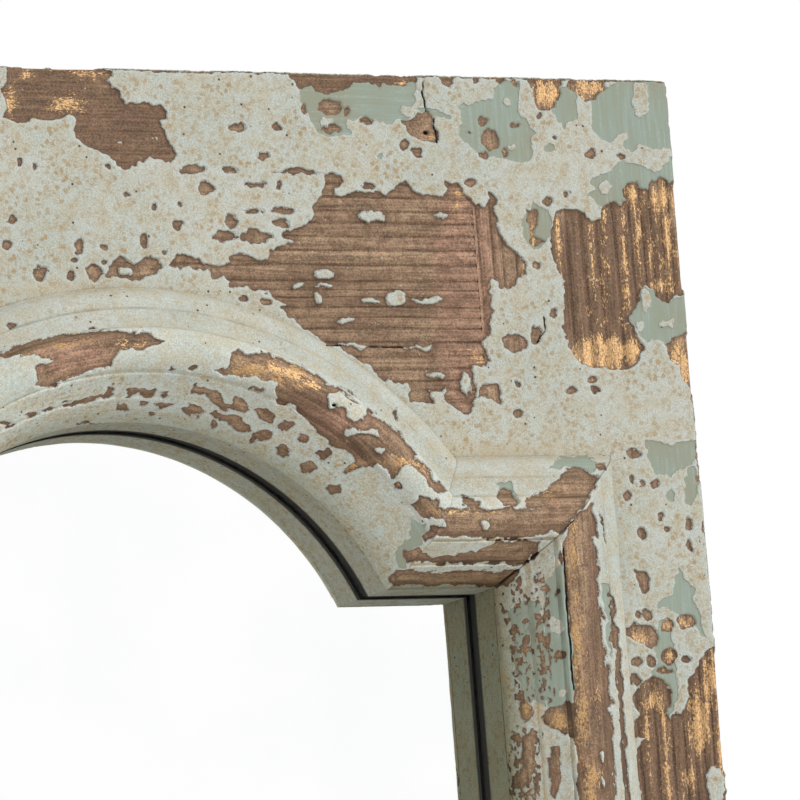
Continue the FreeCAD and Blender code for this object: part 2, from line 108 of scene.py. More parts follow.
# Wear that the photograph shows, in its pixels. Outlines are bare wood or undercoat, and spots are
# small ones: column, row, half width, half height.
BOARD_BARE = [
    # upper left of the head board
    [(7, 62), (34, 60), (90, 62), (114, 70), (112, 77), (106, 79), (110, 87), (119, 92), (124, 102),
     (128, 105), (136, 101), (148, 104), (161, 104), (167, 112), (165, 119), (161, 122), (166, 134),
     (168, 144), (178, 154), (171, 164), (162, 160), (151, 158), (138, 163), (126, 169), (117, 164),
     (110, 155), (101, 153), (96, 148), (84, 145), (76, 136), (73, 129), (77, 120), (69, 114), (58, 119),
     (45, 120), (33, 118), (22, 123), (10, 119), (2, 116), (8, 108), (7, 100), (2, 91), (7, 81)],
    # row of blobs below it
    [(107, 276), (112, 265), (120, 255), (131, 265), (138, 263), (151, 257), (164, 267), (157, 274),
     (141, 278), (131, 279)],
    # top edge of the head board
    [(287, 70), (353, 70), (418, 71), (417, 80), (410, 82), (405, 87), (397, 87), (383, 83), (377, 87),
     (373, 83), (363, 82), (355, 82), (348, 91), (337, 92), (327, 94), (317, 91), (310, 84), (300, 91)],
    [(436, 72), (453, 72), (453, 82), (449, 87), (441, 84)],
    # round the nail hole
    [(401, 121), (415, 116), (426, 111), (432, 114), (435, 118), (434, 125), (437, 137), (438, 143),
     (433, 144), (420, 140), (413, 137), (408, 130)],
    # below the joint
    [(476, 396), (483, 386), (496, 383), (501, 394), (505, 402), (500, 405), (492, 397)],
    # gold worn through at the top edge and the right edge
    [(527, 74), (561, 74), (559, 92), (556, 106), (548, 110), (537, 106), (533, 95)],
    [(571, 74), (606, 75), (604, 89), (595, 101), (589, 100), (574, 94), (566, 88)],
    [(664, 342), (680, 335), (694, 331), (700, 359), (702, 404), (691, 394), (685, 381), (680, 368),
     (672, 357)],
    [(525, 210), (538, 210), (537, 225), (534, 233), (544, 242), (535, 246), (531, 244), (529, 227)],
    # lower stile
    [(634, 570), (644, 571), (650, 582), (648, 594), (643, 594), (639, 582)],
    [(625, 630), (635, 622), (653, 626), (659, 637), (653, 649), (644, 642), (637, 642), (629, 637)],
]
BOARD_RIBBED = [
    # ribbed loss over the butt joint
    [(170, 266), (177, 255), (187, 255), (205, 264), (228, 265), (232, 256), (249, 255), (258, 261),
     (271, 261), (271, 250), (297, 242), (283, 238), (284, 231), (312, 222), (315, 212), (313, 207),
     (322, 196), (326, 173), (338, 173), (342, 181), (336, 187), (336, 196), (357, 192), (387, 195),
     (398, 184), (406, 181), (414, 193), (444, 197), (447, 188), (446, 181), (459, 185), (463, 192),
     (474, 203), (485, 206), (490, 192), (497, 199), (495, 226), (511, 246), (525, 265), (517, 282),
     (511, 289), (501, 287), (497, 280), (491, 279), (489, 301), (492, 312), (490, 331), (483, 341),
     (489, 361), (483, 367), (474, 365), (475, 390), (472, 413), (464, 413), (447, 400), (446, 388),
     (433, 404), (410, 400), (407, 383), (387, 381), (368, 365), (345, 351), (322, 340), (305, 330),
     (295, 320), (279, 308), (288, 304), (279, 299), (267, 292), (242, 286), (227, 289), (229, 282),
     (224, 276), (210, 278), (209, 270), (185, 268)],
    # ribbed loss on the stile
    [(554, 215), (563, 211), (574, 210), (585, 213), (593, 221), (599, 218), (600, 210), (607, 204),
     (614, 202), (623, 206), (625, 199), (621, 190), (628, 182), (637, 183), (644, 189), (649, 190),
     (652, 181), (661, 178), (672, 180), (690, 190), (694, 268), (690, 292), (675, 296), (670, 302),
     (661, 299), (654, 290), (646, 284), (641, 290), (638, 301), (633, 311), (628, 320), (633, 327),
     (638, 337), (645, 348), (641, 359), (633, 366), (613, 369), (596, 367), (578, 361), (572, 353),
     (567, 337), (565, 316), (564, 281), (558, 272), (552, 255), (550, 238)],
    # foot of the photographed stile
    [(632, 695), (637, 688), (647, 679), (656, 676), (664, 683), (672, 690), (672, 704), (667, 711),
     (670, 719), (676, 713), (683, 715), (688, 699), (690, 681), (697, 667), (704, 656), (716, 645),
     (730, 670), (736, 715), (740, 766), (745, 840), (648, 840), (642, 810), (640, 784), (637, 750),
     (647, 738), (637, 736), (633, 727), (635, 719), (642, 715), (634, 706)],
]
BOARD_BARE_SPOTS = [
    (238, 127, 9, 4), (262, 157, 6, 3), (192, 170, 13, 4), (229, 170, 8, 3), (207, 188, 6, 7),
    (254, 185, 10, 2), (253, 211, 10, 2), (231, 221, 6, 7), (225, 236, 14, 5), (257, 237, 14, 6),
    (156, 206, 3, 3), (179, 205, 3, 3), (179, 226, 5, 4), (143, 240, 4, 6), (80, 248, 5, 7),
    (75, 260, 3, 3), (12, 221, 4, 4), (7, 245, 5, 5), (40, 274, 7, 8), (72, 276, 4, 4), (95, 273, 8, 8),
    (103, 248, 2, 2), (104, 262, 3, 3), (35, 167, 2, 2), (19, 163, 3, 3), (108, 166, 2, 2),
    (129, 195, 3, 2), (164, 252, 3, 3), (244, 299, 4, 3), (266, 300, 5, 4), (330, 107, 12, 8),
    (305, 110, 3, 5), (347, 112, 3, 5), (367, 122, 6, 4), (332, 129, 10, 4), (276, 127, 5, 4),
    (297, 172, 18, 3), (405, 145, 5, 5), (417, 152, 5, 5), (279, 186, 4, 4), (283, 211, 13, 3),
    (281, 223, 9, 4), (368, 186, 6, 3), (471, 182, 6, 4), (491, 140, 9, 10), (484, 121, 4, 5),
    (514, 125, 5, 3), (506, 152, 2, 5), (470, 132, 2, 2), (484, 155, 4, 4), (474, 79, 3, 3),
    (500, 80, 5, 4), (514, 82, 3, 4), (514, 343, 11, 10), (517, 383, 3, 3), (519, 414, 4, 4),
    (535, 335, 5, 9), (591, 154, 5, 5), (548, 201, 5, 5), (567, 192, 3, 3), (621, 158, 3, 3),
    (523, 268, 5, 9), (538, 266, 4, 4), (553, 311, 4, 5), (538, 333, 5, 7), (522, 344, 4, 6),
    (592, 379, 4, 5), (572, 391, 5, 4), (597, 390, 3, 3), (542, 116, 3, 3), (557, 136, 2, 2),
    (634, 453, 7, 5), (634, 479, 3, 3), (642, 484, 3, 3), (656, 484, 4, 4), (628, 495, 4, 5),
    (699, 478, 4, 4), (661, 518, 4, 4), (642, 534, 5, 7), (689, 525, 3, 6), (668, 531, 3, 3),
    (703, 525, 3, 5), (689, 546, 3, 8), (639, 614, 4, 4), (649, 614, 5, 4), (686, 621, 9, 8),
    (667, 626, 7, 6), (670, 656, 8, 8), (666, 670, 9, 4), (637, 661, 3, 5), (650, 661, 5, 5),
    (687, 659, 4, 4), (635, 679, 7, 5),
]
BOARD_KEPT_SPOTS = [
    (372, 216, 14, 5), (442, 215, 7, 4), (325, 274, 9, 4), (298, 286, 6, 3), (325, 285, 9, 2),
    (318, 297, 4, 6), (372, 301, 10, 3), (397, 298, 11, 8), (429, 301, 17, 3), (346, 321, 8, 3),
    (357, 345, 13, 2), (423, 347, 13, 2), (436, 376, 7, 3), (466, 383, 5, 11), (437, 395, 7, 4),
    (126, 271, 6, 3), (716, 785, 9, 19),
]
BOARD_UNDERCOAT = [
    [(561, 88), (573, 88), (576, 98), (574, 107), (578, 117), (572, 122), (563, 130), (559, 123),
     (554, 114), (552, 110), (557, 103)],
    [(590, 112), (591, 101), (604, 88), (622, 78), (680, 76), (682, 131), (679, 146), (654, 148),
     (641, 146), (631, 151), (624, 147), (626, 131), (620, 134), (611, 144), (600, 137), (591, 125)],
    [(591, 178), (611, 173), (624, 161), (639, 164), (659, 172), (665, 162), (673, 156), (686, 156),
     (686, 190), (650, 190), (628, 190), (624, 207), (601, 207), (585, 195), (594, 190)],
    [(641, 285), (654, 290), (670, 302), (694, 290), (698, 333), (663, 340), (646, 340), (637, 333),
     (628, 320), (633, 311)],
    [(459, 104), (473, 102), (495, 100), (493, 87), (503, 80), (517, 82), (518, 93), (517, 110), (522, 118),
     (528, 127), (535, 133), (530, 138), (533, 150), (528, 163), (508, 160), (487, 156), (475, 152),
     (467, 143), (462, 135), (460, 127), (462, 123), (459, 113)],
    [(300, 92), (310, 78), (415, 78), (416, 90), (415, 100), (410, 107), (413, 115), (402, 119), (393, 123),
     (377, 122), (363, 118), (350, 122), (348, 130), (353, 133), (337, 136), (318, 133), (317, 127),
     (310, 120), (308, 112), (302, 100)],
    [(413, 110), (420, 107), (430, 108), (452, 113), (450, 118), (437, 117)],
    [(646, 440), (658, 441), (670, 445), (698, 440), (700, 454), (688, 465), (676, 472), (670, 476),
     (653, 473), (649, 458)],
    [(679, 562), (681, 575), (694, 589), (692, 598), (697, 610), (704, 635), (699, 635), (692, 621),
     (679, 614), (667, 607), (657, 607), (659, 601), (672, 598), (674, 582)],
    [(658, 621), (674, 621), (670, 633), (676, 651), (676, 670), (679, 692), (672, 711), (665, 722),
     (661, 718), (665, 704), (660, 681), (653, 674), (658, 660), (656, 647)],
]
BOARD_UNDERCOAT_SPOTS = [
    (670, 497, 4, 8), (691, 484, 8, 18), (548, 148, 5, 4), (536, 226, 14, 22), (381, 156, 3, 3),
]
BOARD_UNDERCOAT_KEPT_SPOTS = [
    (328, 122, 7, 4), (355, 124, 7, 5), (407, 110, 7, 5), (507, 101, 3, 3), (512, 147, 3, 3),
    (640, 99, 9, 17), (606, 187, 6, 6), (645, 298, 5, 14), (640, 327, 4, 4), (667, 323, 7, 4),
]
BOARD_GOLD_SPOTS = [
    (90, 73, 22, 6), (68, 103, 19, 11), (12, 100, 7, 17), (548, 92, 16, 16), (587, 88, 18, 12),
    (604, 352, 36, 18), (626, 270, 4, 80), (592, 270, 3, 80), (605, 270, 3, 80), (640, 225, 5, 42),
    (652, 250, 4, 42), (669, 240, 8, 48), (559, 240, 3, 30), (662, 285, 18, 8), (680, 365, 12, 36),
    (686, 621, 9, 8), (667, 626, 7, 7), (670, 656, 8, 8), (666, 670, 9, 4), (712, 680, 10, 34),
    (700, 720, 14, 40), (724, 740, 8, 70), (690, 780, 6, 30), (668, 770, 5, 60), (648, 720, 5, 40),
    (459, 196, 5, 16), (476, 356, 9, 5), (534, 232, 6, 12), (506, 152, 2, 5), (500, 80, 5, 4),
    (514, 82, 3, 4), (405, 84, 8, 5), (552, 201, 3, 4), (430, 138, 8, 3), (523, 240, 3, 8),
    (488, 290, 3, 9), (524, 268, 4, 8), (590, 362, 20, 9), (632, 350, 14, 16), (30, 75, 10, 5),
    (640, 640, 12, 10), (662, 200, 14, 14), (634, 196, 10, 12), (655, 700, 10, 14),
]
BOARD_UMBER_SPOTS = [
    (130, 128, 54, 46), (45, 95, 60, 42), (350, 82, 70, 12), (618, 270, 66, 90), (690, 740, 60, 100),
]
BOARD_WARM_SPOTS = [(465, 290, 30, 120), (108, 117, 40, 6), (118, 134, 8, 5), (445, 80, 8, 8)]
MOULDING_BARE = [
    # crown of the arch bead
    [(-30, 362), (0, 352), (15, 347), (33, 340), (64, 333), (97, 329), (120, 330), (143, 332), (166, 340),
     (153, 347), (138, 351), (120, 350), (112, 360), (111, 369), (97, 371), (84, 374), (66, 382), (51, 386),
     (37, 386), (38, 379), (36, 368), (48, 365), (55, 358), (33, 355), (15, 355), (0, 357), (-30, 368)],
    # right haunch of the arch bead
    [(213, 370), (230, 364), (231, 354), (237, 349), (252, 354), (270, 353), (286, 359), (304, 368),
     (322, 377), (333, 385), (345, 391), (358, 400), (367, 408), (375, 413), (387, 422), (397, 430),
     (407, 442), (415, 450), (418, 460), (427, 467), (433, 475), (440, 483), (446, 486), (447, 493),
     (438, 493), (432, 487), (423, 478), (417, 472), (413, 465), (403, 467), (398, 472), (392, 477),
     (387, 470), (380, 463), (372, 467), (355, 472), (343, 475), (348, 468), (355, 463), (352, 455),
     (342, 448), (332, 447), (325, 437), (317, 432), (310, 425), (307, 418), (300, 412), (278, 400),
     (274, 392), (278, 382), (270, 379), (235, 377), (217, 373)],
    # flakes along the inner steps of the arch
    [(62, 405), (78, 400), (95, 396), (106, 391), (109, 385), (114, 388), (112, 396), (100, 400), (84, 403),
     (66, 408)],
    [(123, 396), (130, 390), (140, 388), (152, 389), (157, 393), (152, 397), (140, 395), (130, 397)],
    [(192, 392), (197, 385), (206, 387), (212, 391), (220, 393), (224, 401), (232, 403), (236, 398),
     (243, 402), (248, 410), (243, 414), (234, 410), (224, 409), (214, 405), (209, 398), (201, 395)],
    [(253, 410), (260, 407), (268, 410), (275, 417), (275, 423), (266, 422), (258, 418)],
    [(115, 412), (119, 404), (124, 405), (129, 410), (128, 415)],
    [(153, 405), (165, 403), (174, 406), (168, 409), (156, 408)],
    [(181, 410), (190, 404), (199, 407), (204, 413), (198, 418), (190, 416), (184, 414)],
    [(207, 414), (216, 412), (226, 416), (238, 418), (247, 424), (250, 431), (242, 433), (235, 427),
     (224, 421), (214, 419)],
    [(249, 441), (255, 434), (265, 431), (274, 434), (270, 439), (262, 441), (253, 445)],
    # shoulder bead
    [(409, 508), (417, 503), (419, 496), (430, 498), (438, 498), (438, 507), (462, 510), (467, 507),
     (500, 508), (540, 508), (575, 506), (587, 500), (578, 513), (568, 525), (559, 533), (532, 538),
     (504, 539), (467, 538), (440, 536), (423, 543), (421, 537), (425, 530), (433, 527), (445, 527),
     (446, 517), (432, 517), (428, 520), (417, 515)],
    # outer band of the shoulder, at the corner
    [(525, 507), (527, 499), (546, 489), (559, 482), (563, 471), (575, 466), (587, 473), (598, 478),
     (596, 488), (589, 497), (578, 507), (555, 509)],
    [(495, 497), (504, 488), (511, 489), (517, 502), (513, 507), (502, 507)],
    [(460, 494), (470, 498), (482, 505), (476, 509), (464, 504)],
    [(594, 461), (605, 461), (605, 470), (598, 470)],
    # the two bands below it
    [(405, 551), (417, 547), (423, 551), (428, 555), (443, 558), (458, 555), (470, 548), (477, 553),
     (488, 549), (497, 541), (520, 541), (539, 543), (536, 552), (529, 559), (522, 565), (463, 564),
     (408, 563)],
    [(388, 580), (395, 570), (413, 570), (423, 573), (447, 571), (467, 572), (500, 572), (520, 571),
     (511, 582), (502, 587), (474, 587), (440, 586), (417, 585), (393, 587)],
    # stile bead
    [(561, 541), (572, 520), (587, 506), (593, 502), (595, 520), (597, 555), (601, 587), (606, 647),
     (612, 715), (617, 800), (624, 880), (585, 880), (578, 800), (575, 738), (573, 670), (567, 600),
     (564, 560)],
    # gold and brown stretches on the inner bands
    [(541, 716), (548, 708), (575, 702), (576, 738), (566, 736), (552, 728)],
    [(518, 702), (527, 700), (532, 712), (524, 722), (519, 716)],
    [(522, 735), (532, 730), (537, 748), (532, 772), (524, 784), (512, 786), (520, 768)],
    [(548, 748), (558, 746), (560, 780), (557, 800), (550, 798)],
    # thin slivers along the outer fillets
    [(609, 588), (613, 596), (620, 650), (625, 720), (630, 800), (626, 800), (620, 720), (614, 650)],
    [(600, 512), (603, 520), (606, 545), (603, 540)],
]
MOULDING_BARE_SPOTS = [
    (164, 395, 5, 2), (145, 404, 4, 3), (153, 414, 3, 3), (214, 425, 3, 5), (256, 390, 8, 2),
    (284, 451, 8, 5), (30, 415, 7, 2), (48, 410, 6, 2), (284, 402, 6, 3), (285, 426, 9, 4),
    (303, 437, 6, 5), (325, 453, 7, 5), (309, 467, 7, 7), (333, 489, 7, 5), (397, 486, 4, 4),
    (6, 425, 7, 2), (98, 425, 13, 1), (130, 425, 8, 1), (157, 426, 12, 1), (172, 370, 3, 2),
    (193, 369, 4, 3), (12, 325, 5, 3), (396, 414, 2, 7), (559, 655, 6, 6), (556, 592, 3, 3),
    (560, 560, 3, 7),
]
MOULDING_SPECKLED = [
    [(500, 596), (516, 578), (528, 588), (532, 640), (534, 690), (530, 706), (516, 700), (510, 650),
     (503, 620)],
    [(532, 580), (541, 568), (548, 590), (551, 640), (553, 700), (544, 708), (537, 690), (535, 630)],
    [(512, 725), (540, 728), (540, 800), (505, 800), (508, 760)],
]
MOULDING_KEPT = [
    [(328, 393), (343, 391), (353, 400), (363, 403), (368, 413), (357, 422), (350, 417), (343, 408),
     (333, 408), (328, 400)],
    [(345, 428), (355, 428), (362, 431), (370, 428), (378, 428), (379, 437), (373, 438), (367, 434),
     (357, 432), (350, 437), (345, 436)],
]
MOULDING_KEPT_SPOTS = [(380, 452, 6, 4), (485, 525, 5, 5), (603, 755, 3, 5), (604, 782, 3, 7)]
MOULDING_UNDERCOAT = [
    [(410, 520), (425, 523), (423, 530), (420, 537), (420, 545), (407, 550), (407, 567), (397, 567),
     (398, 545), (410, 537)],
    [(546, 585), (558, 566), (570, 566), (574, 600), (578, 640), (580, 700), (550, 708), (545, 660),
     (543, 620)],
    [(508, 612), (524, 600), (540, 606), (546, 650), (546, 704), (524, 700), (514, 660)],
    [(604, 585), (610, 586), (614, 640), (610, 660), (606, 620)],
    [(548, 470), (560, 458), (585, 455), (600, 462), (590, 472), (570, 466)],
    [(497, 482), (510, 482), (520, 500), (512, 507)],
]
MOULDING_UNDERCOAT_KEPT_SPOTS = [(556, 625, 8, 8), (563, 694, 4, 5)]
MOULDING_GOLD_SPOTS = [
    (250, 369, 34, 10), (285, 372, 34, 14), (340, 468, 24, 5), (60, 343, 40, 6), (310, 385, 20, 8),
    (400, 463, 25, 8), (425, 475, 8, 14), (470, 512, 45, 4), (550, 489, 18, 6), (548, 500, 20, 4),
    (573, 555, 9, 40), (576, 640, 10, 60), (582, 715, 10, 50), (592, 785, 11, 40), (577, 600, 6, 30),
    (560, 722, 16, 14), (526, 708, 6, 8), (130, 343, 30, 5), (20, 352, 24, 4), (559, 655, 6, 6),
    (397, 486, 4, 4), (120, 351, 12, 3), (75, 380, 25, 4), (600, 690, 3, 20), (340, 470, 20, 3),
]
MOULDING_UMBER_SPOTS = [
    (318, 427, 14, 11), (350, 452, 22, 13), (330, 445, 30, 10), (352, 456, 22, 9), (305, 402, 34, 14),
    (130, 340, 40, 7), (597, 640, 9, 120), (606, 750, 8, 90),
]
MOULDING_WARM_SPOTS = [(75, 358, 36, 18), (330, 420, 40, 24), (600, 560, 6, 40)]
GLAZE_SPOTS = [
    (520, 452, 75, 9), (462, 450, 22, 12), (590, 460, 20, 8), (70, 288, 70, 6), (545, 700, 6, 120),
]
CRACKS = [
    [(327, 345), (343, 346)],
    [(370, 346), (405, 347)],
    [(424, 80), (422, 92), (425, 100), (426, 111)],
    [(544, 317), (546, 329), (538, 342)],
    [(435, 118), (434, 125), (437, 137), (438, 143)],
    [(563, 548), (565, 580), (567, 612), (570, 650), (573, 690)],
]
NAIL_HOLES = [(427, 132, 3, 2.4), (335, 405, 3, 2)]

# Lines left by the comb in the wood: rows on the head board at one column, columns on the stile at one row
HEAD_COMB_COLUMN = 380
HEAD_COMB_ROWS = (
    184, 197, 211, 223, 237, 251, 265, 281, 290, 297, 307, 317, 328, 342, 356, 369, 381, 391, 403)
STILE_COMB_ROW = 255
STILE_COMB_COLUMNS = (551, 569, 585, 600, 617, 633, 645, 654, 664, 673, 683)
COMB_PITCH = 9 * MM
COMB_REACH = 0.6
COMB_DEPTH = 0.8

# Paint layers, in millimetres, and how far the wear is followed inside or outside a patch
PAINT_BODY = 1.3
TOP_COAT = 0.35
FIELD_REACH = 8
DEEPEST_FIELD = 12

# Section of the moulding, as shares of its width and rise, with the middle of an arc where one follows
BAND_SHARES = [
    ((0.130, 0.295), None), ((0.146, 0.275), None), ((0.154, 0.360), None), ((0.282, 0.780), None),
    ((0.296, 0.745), None), ((0.302, 0.840), (0.458, 1.000)), ((0.620, 0.870), None),
    ((0.633, 0.800), (0.689, 0.610)),
    ((0.790, 0.540), None), ((0.806, 0.485), (0.919, 0.379)), ((0.982, 0.145), None), ((1.000, 0.118), None),
]
SIGHT_EDGE_SHARE = 0.25
LEG_WIDTH = 20 * MM
GROOVE_SHARES = (0.0, 0.146, 0.296, 0.636, 0.806, 1.0)
BEAD_SHARES = (0.302, 0.620)


def smooth_step(value, low, high):
    share = np.clip((value - low) / (high - low), 0, 1)
    return share * share * (3 - 2 * share)


# Large odd numbers that scatter the cells of the noise
CELL_FACTORS = (73856093, 19349663, 83492791)
SEED_FACTOR = 2654435761
FIRST_MIX, SECOND_MIX = 2246822519, 3266489917
WHOLE_RANGE = 0xFFFFFFFF


def lattice_noise(points, cell, seed):
    """Smooth random values from -1 to 1 that change over about one cell."""
    place = points / cell
    base = np.floor(place).astype(np.int64)
    share = place - base
    share = share * share * (3 - 2 * share)
    total = np.zeros(len(points))
    for corner in range(8):
        step = np.array([corner & 1, corner >> 1 & 1, corner >> 2 & 1])
        scattered = (base + step) * CELL_FACTORS
        mixed = scattered[:, 0] ^ scattered[:, 1] ^ scattered[:, 2]
        mixed = (mixed ^ seed * SEED_FACTOR) & WHOLE_RANGE
        mixed = (mixed ^ mixed >> 15) * FIRST_MIX & WHOLE_RANGE
        mixed = (mixed ^ mixed >> 13) * SECOND_MIX & WHOLE_RANGE
        weight = np.prod(np.where(step, share, 1 - share), axis=1)
        total += weight * ((mixed ^ mixed >> 16) / WHOLE_RANGE * 2 - 1)
    return total


def rough_noise(points, cell, seed, octaves=3):
    """Noise with finer noise on top of it."""
    total = np.zeros(len(points))
    for octave in range(octaves):
        total += lattice_noise(points, cell / 2 ** octave, seed + octave) / 2 ** octave
    return total


def depth_in_outline(places, outline):
    """How far places lie inside a closed outline; outside counts as negative."""
    corners = np.array(outline, float)
    nearest = np.full(len(places), np.inf)
    inside = np.zeros(len(places), bool)
    for start, end in zip(corners, np.roll(corners, -1, axis=0)):
        side = end - start
        offset = places - start
        share = np.clip(offset @ side / (side @ side), 0, 1)
        nearest = np.minimum(nearest, np.sum((offset - share[:, None] * side) ** 2, axis=1))
        crosses = (start[1] > places[:, 1]) != (end[1] > places[:, 1])
        if start[1] != end[1]:
            reach = start[0] + (places[:, 1] - start[1]) * side[0] / side[1]
            inside ^= crosses & (places[:, 0] < reach)
    return np.where(inside, 1, -1) * np.sqrt(nearest)


def marks(places, outlines=(), spots=(), margin=16):
    """The deepest that each place lies in any outline or spot."""
    depth = np.full(len(places), -float(margin))
    for outline in outlines:
        corners = np.array(outline, float)
        near = np.all((places > corners.min(0) - margin) & (places < corners.max(0) + margin), axis=1)
        if near.any():
            depth[near] = np.maximum(depth[near], depth_in_outline(places[near], outline))
    for column, row, half_wide, half_high in spots:
        offset = (places - (column, row)) / (half_wide, half_high)
        near = np.all(np.abs(offset) < 1 + margin / min(half_wide, half_high), axis=1)
        if near.any():
            spot = (1 - np.linalg.norm(offset[near], axis=1)) * min(half_wide, half_high)
            depth[near] = np.maximum(depth[near], spot)
    return depth


def crack_distance(places, margin=16):
    """How far places lie from the nearest crack."""
    distance = np.full(len(places), float(margin))
    for crack in CRACKS:
        for start, end in zip(np.array(crack, float), np.array(crack[1:], float)):
            side = end - start
            offset = places - start
            share = np.clip(offset @ side / (side @ side), 0, 1)
            distance = np.minimum(distance, np.linalg.norm(offset - share[:, None] * side, axis=1))
    return distance


def random_outline(rng, centre, half_wide, half_high):
    """A rough closed outline for a patch of worn paint."""
    count = 22
    turn = np.linspace(0, 2 * math.pi, count, endpoint=False)
    reach = 1 + 0.22 * np.sin(turn * 2 + rng.uniform(0, 6)) + rng.uniform(-0.28, 0.28, count)
    across, up = half_wide * reach * np.cos(turn), half_high * reach * np.sin(turn)
    return np.stack([centre[0] + across, centre[1] + up], axis=1)


class Wear:
    """Worn patches on the fronts of the boards that the photograph doesn't show, in millimetres."""

    BARE_AREA = 16000
    UNDERCOAT_AREA = 20000
    SPOT_AREA = 900
    PIXEL_MARGIN = 25

    def __init__(self, seed, zones):
        rng = np.random.default_rng(seed)
        self.bare, self.undercoat, self.spots, self.gold = [], [], [], []
        for low_x, high_x, low_z, high_z, upright in zones:
            area = (high_x - low_x) * (high_z - low_z)
            for _ in range(max(1, round(area / self.BARE_AREA))):
                centre = (rng.uniform(low_x, high_x), rng.uniform(low_z, high_z))
                short, long = rng.uniform(9, 24), rng.uniform(20, 58)
                size = (short, long) if upright else (long, short)
                self.bare.append(random_outline(rng, centre, *size))
                end = centre[1] - size[1] * 0.7 if upright else centre[1]
                if rng.random() < 0.6:
                    self.gold.append((centre[0], end, size[0], size[1] * 0.35))
            for _ in range(max(1, round(area / self.UNDERCOAT_AREA))):
                centre = (rng.uniform(low_x, high_x), rng.uniform(low_z, high_z))
                size = (rng.uniform(9, 26), rng.uniform(9, 34))
                self.undercoat.append(random_outline(rng, centre, *size))
            for _ in range(round(area / self.SPOT_AREA)):
                size = rng.uniform(1.2, 3.6) * rng.choice([1, 1, 1, 1.8])
                stretch = rng.uniform(0.7, 1.5)
                centre = (rng.uniform(low_x, high_x), rng.uniform(low_z, high_z))
                self.spots.append((*centre, size * stretch, size))

    def clear_of_photo(self):
        """Leaves out what would fall inside the photograph's view."""
        def outside(x, z):
            pixel, _ = photo_pixels(np.array([[x * MM, front, z * MM]]))
            low, high = -self.PIXEL_MARGIN, PICTURE_PIXELS + self.PIXEL_MARGIN
            return not np.all((pixel > low) & (pixel < high))

        self.bare = [outline for outline in self.bare if outside(*outline.mean(0))]
        self.undercoat = [outline for outline in self.undercoat if outside(*outline.mean(0))]
        self.spots = [spot for spot in self.spots if outside(*spot[:2])]
        self.gold = [spot for spot in self.gold if outside(*spot[:2])]
        return self


def photo_share(pixels):
    """1 inside the photograph's view, falling to 0 just outside."""
    edge = np.minimum(pixels, PICTURE_PIXELS - pixels).min(axis=1)
    return smooth_step(edge, *VIEW_FADE)


def flaked(points, pixels):
    """Breaks up drawn outlines the way flaking paint does."""
    coarse = np.stack([lattice_noise(points, 6.5 * MM, seed) for seed in (91, 92)], axis=1)
    fine = np.stack([lattice_noise(points, 2.6 * MM, seed) for seed in (93, 94)], axis=1)
    return pixels + 2.8 * coarse + 1.7 * fine


def photo_fields(points, marks_of):
    """Worn paint of the photographed corner, in millimetres inside each kind of patch."""
    pixels, scale = photo_pixels(points)
    per_mm = scale * MM
    ragged = flaked(points, pixels)
    ribbed = marks(ragged, marks_of.get("ribbed", ()))
    bare = np.maximum(marks(ragged, marks_of["bare"], marks_of["bare_spots"]), ribbed)
    speckled = marks(ragged, marks_of.get("speckled", ()))
    bare = np.maximum(bare, np.minimum(speckled, 9 * rough_noise(points, 2.7 * MM, 95) - 0.4))
    kept = marks(ragged, marks_of.get("kept", ()), marks_of["kept_spots"])
    undercoat = marks(ragged, marks_of["undercoat"], marks_of.get("undercoat_spots", ()))
    undercoat_kept = marks(ragged, (), marks_of["undercoat_kept_spots"])
    fields = {
        "bare": np.minimum(bare, -kept) / per_mm,
        "undercoat": np.minimum(undercoat, -undercoat_kept) / per_mm,
        "ribbed": ribbed / per_mm,
        "gold": marks(pixels, (), marks_of["gold_spots"]) / per_mm,
        "warm": marks(pixels, (), marks_of["warm_spots"]) / per_mm,
        "umber": marks(pixels, (), marks_of["umber_spots"]) / per_mm,
        "glaze": marks(pixels, (), GLAZE_SPOTS) / per_mm,
        "crack": 0.7 - crack_distance(0.65 * pixels + 0.35 * ragged) / per_mm,
        "hole": marks(pixels, (), NAIL_HOLES) / per_mm,
    }
    return fields, photo_share(pixels)


BOARD_MARKS = {
    "bare": BOARD_BARE, "bare_spots": BOARD_BARE_SPOTS, "ribbed": BOARD_RIBBED,
    "kept_spots": BOARD_KEPT_SPOTS, "undercoat": BOARD_UNDERCOAT, "undercoat_spots": BOARD_UNDERCOAT_SPOTS,
    "undercoat_kept_spots": BOARD_UNDERCOAT_KEPT_SPOTS, "gold_spots": BOARD_GOLD_SPOTS,
    "umber_spots": BOARD_UMBER_SPOTS, "warm_spots": BOARD_WARM_SPOTS,
}
MOULDING_MARKS = {
    "bare": MOULDING_BARE, "bare_spots": MOULDING_BARE_SPOTS, "speckled": MOULDING_SPECKLED,
    "kept": MOULDING_KEPT, "kept_spots": MOULDING_KEPT_SPOTS, "undercoat": MOULDING_UNDERCOAT,
    "undercoat_kept_spots": MOULDING_UNDERCOAT_KEPT_SPOTS, "gold_spots": MOULDING_GOLD_SPOTS,
    "umber_spots": MOULDING_UMBER_SPOTS, "warm_spots": MOULDING_WARM_SPOTS,
}
PHOTO_ONLY = ("crack", "hole", "warm", "umber", "glaze")
OUT_OF_SIGHT = 40
FAR_FROM_GROOVE = 12
BOARD_FRECKLES = 0.9
COVERED = 80

stile_mm = (joint_side / MM, half_width / MM)
board_wear = Wear(7, [
    (stile_mm[0], stile_mm[1], foot / MM, top / MM, True),
    (-stile_mm[1], -stile_mm[0], foot / MM, top / MM, True),
    (-stile_mm[0], stile_mm[0], sight_shoulder / MM + COVERED, top / MM, False),
    (-stile_mm[0], stile_mm[0], foot / MM, sight_foot / MM - COVERED, False),
]).clear_of_photo()


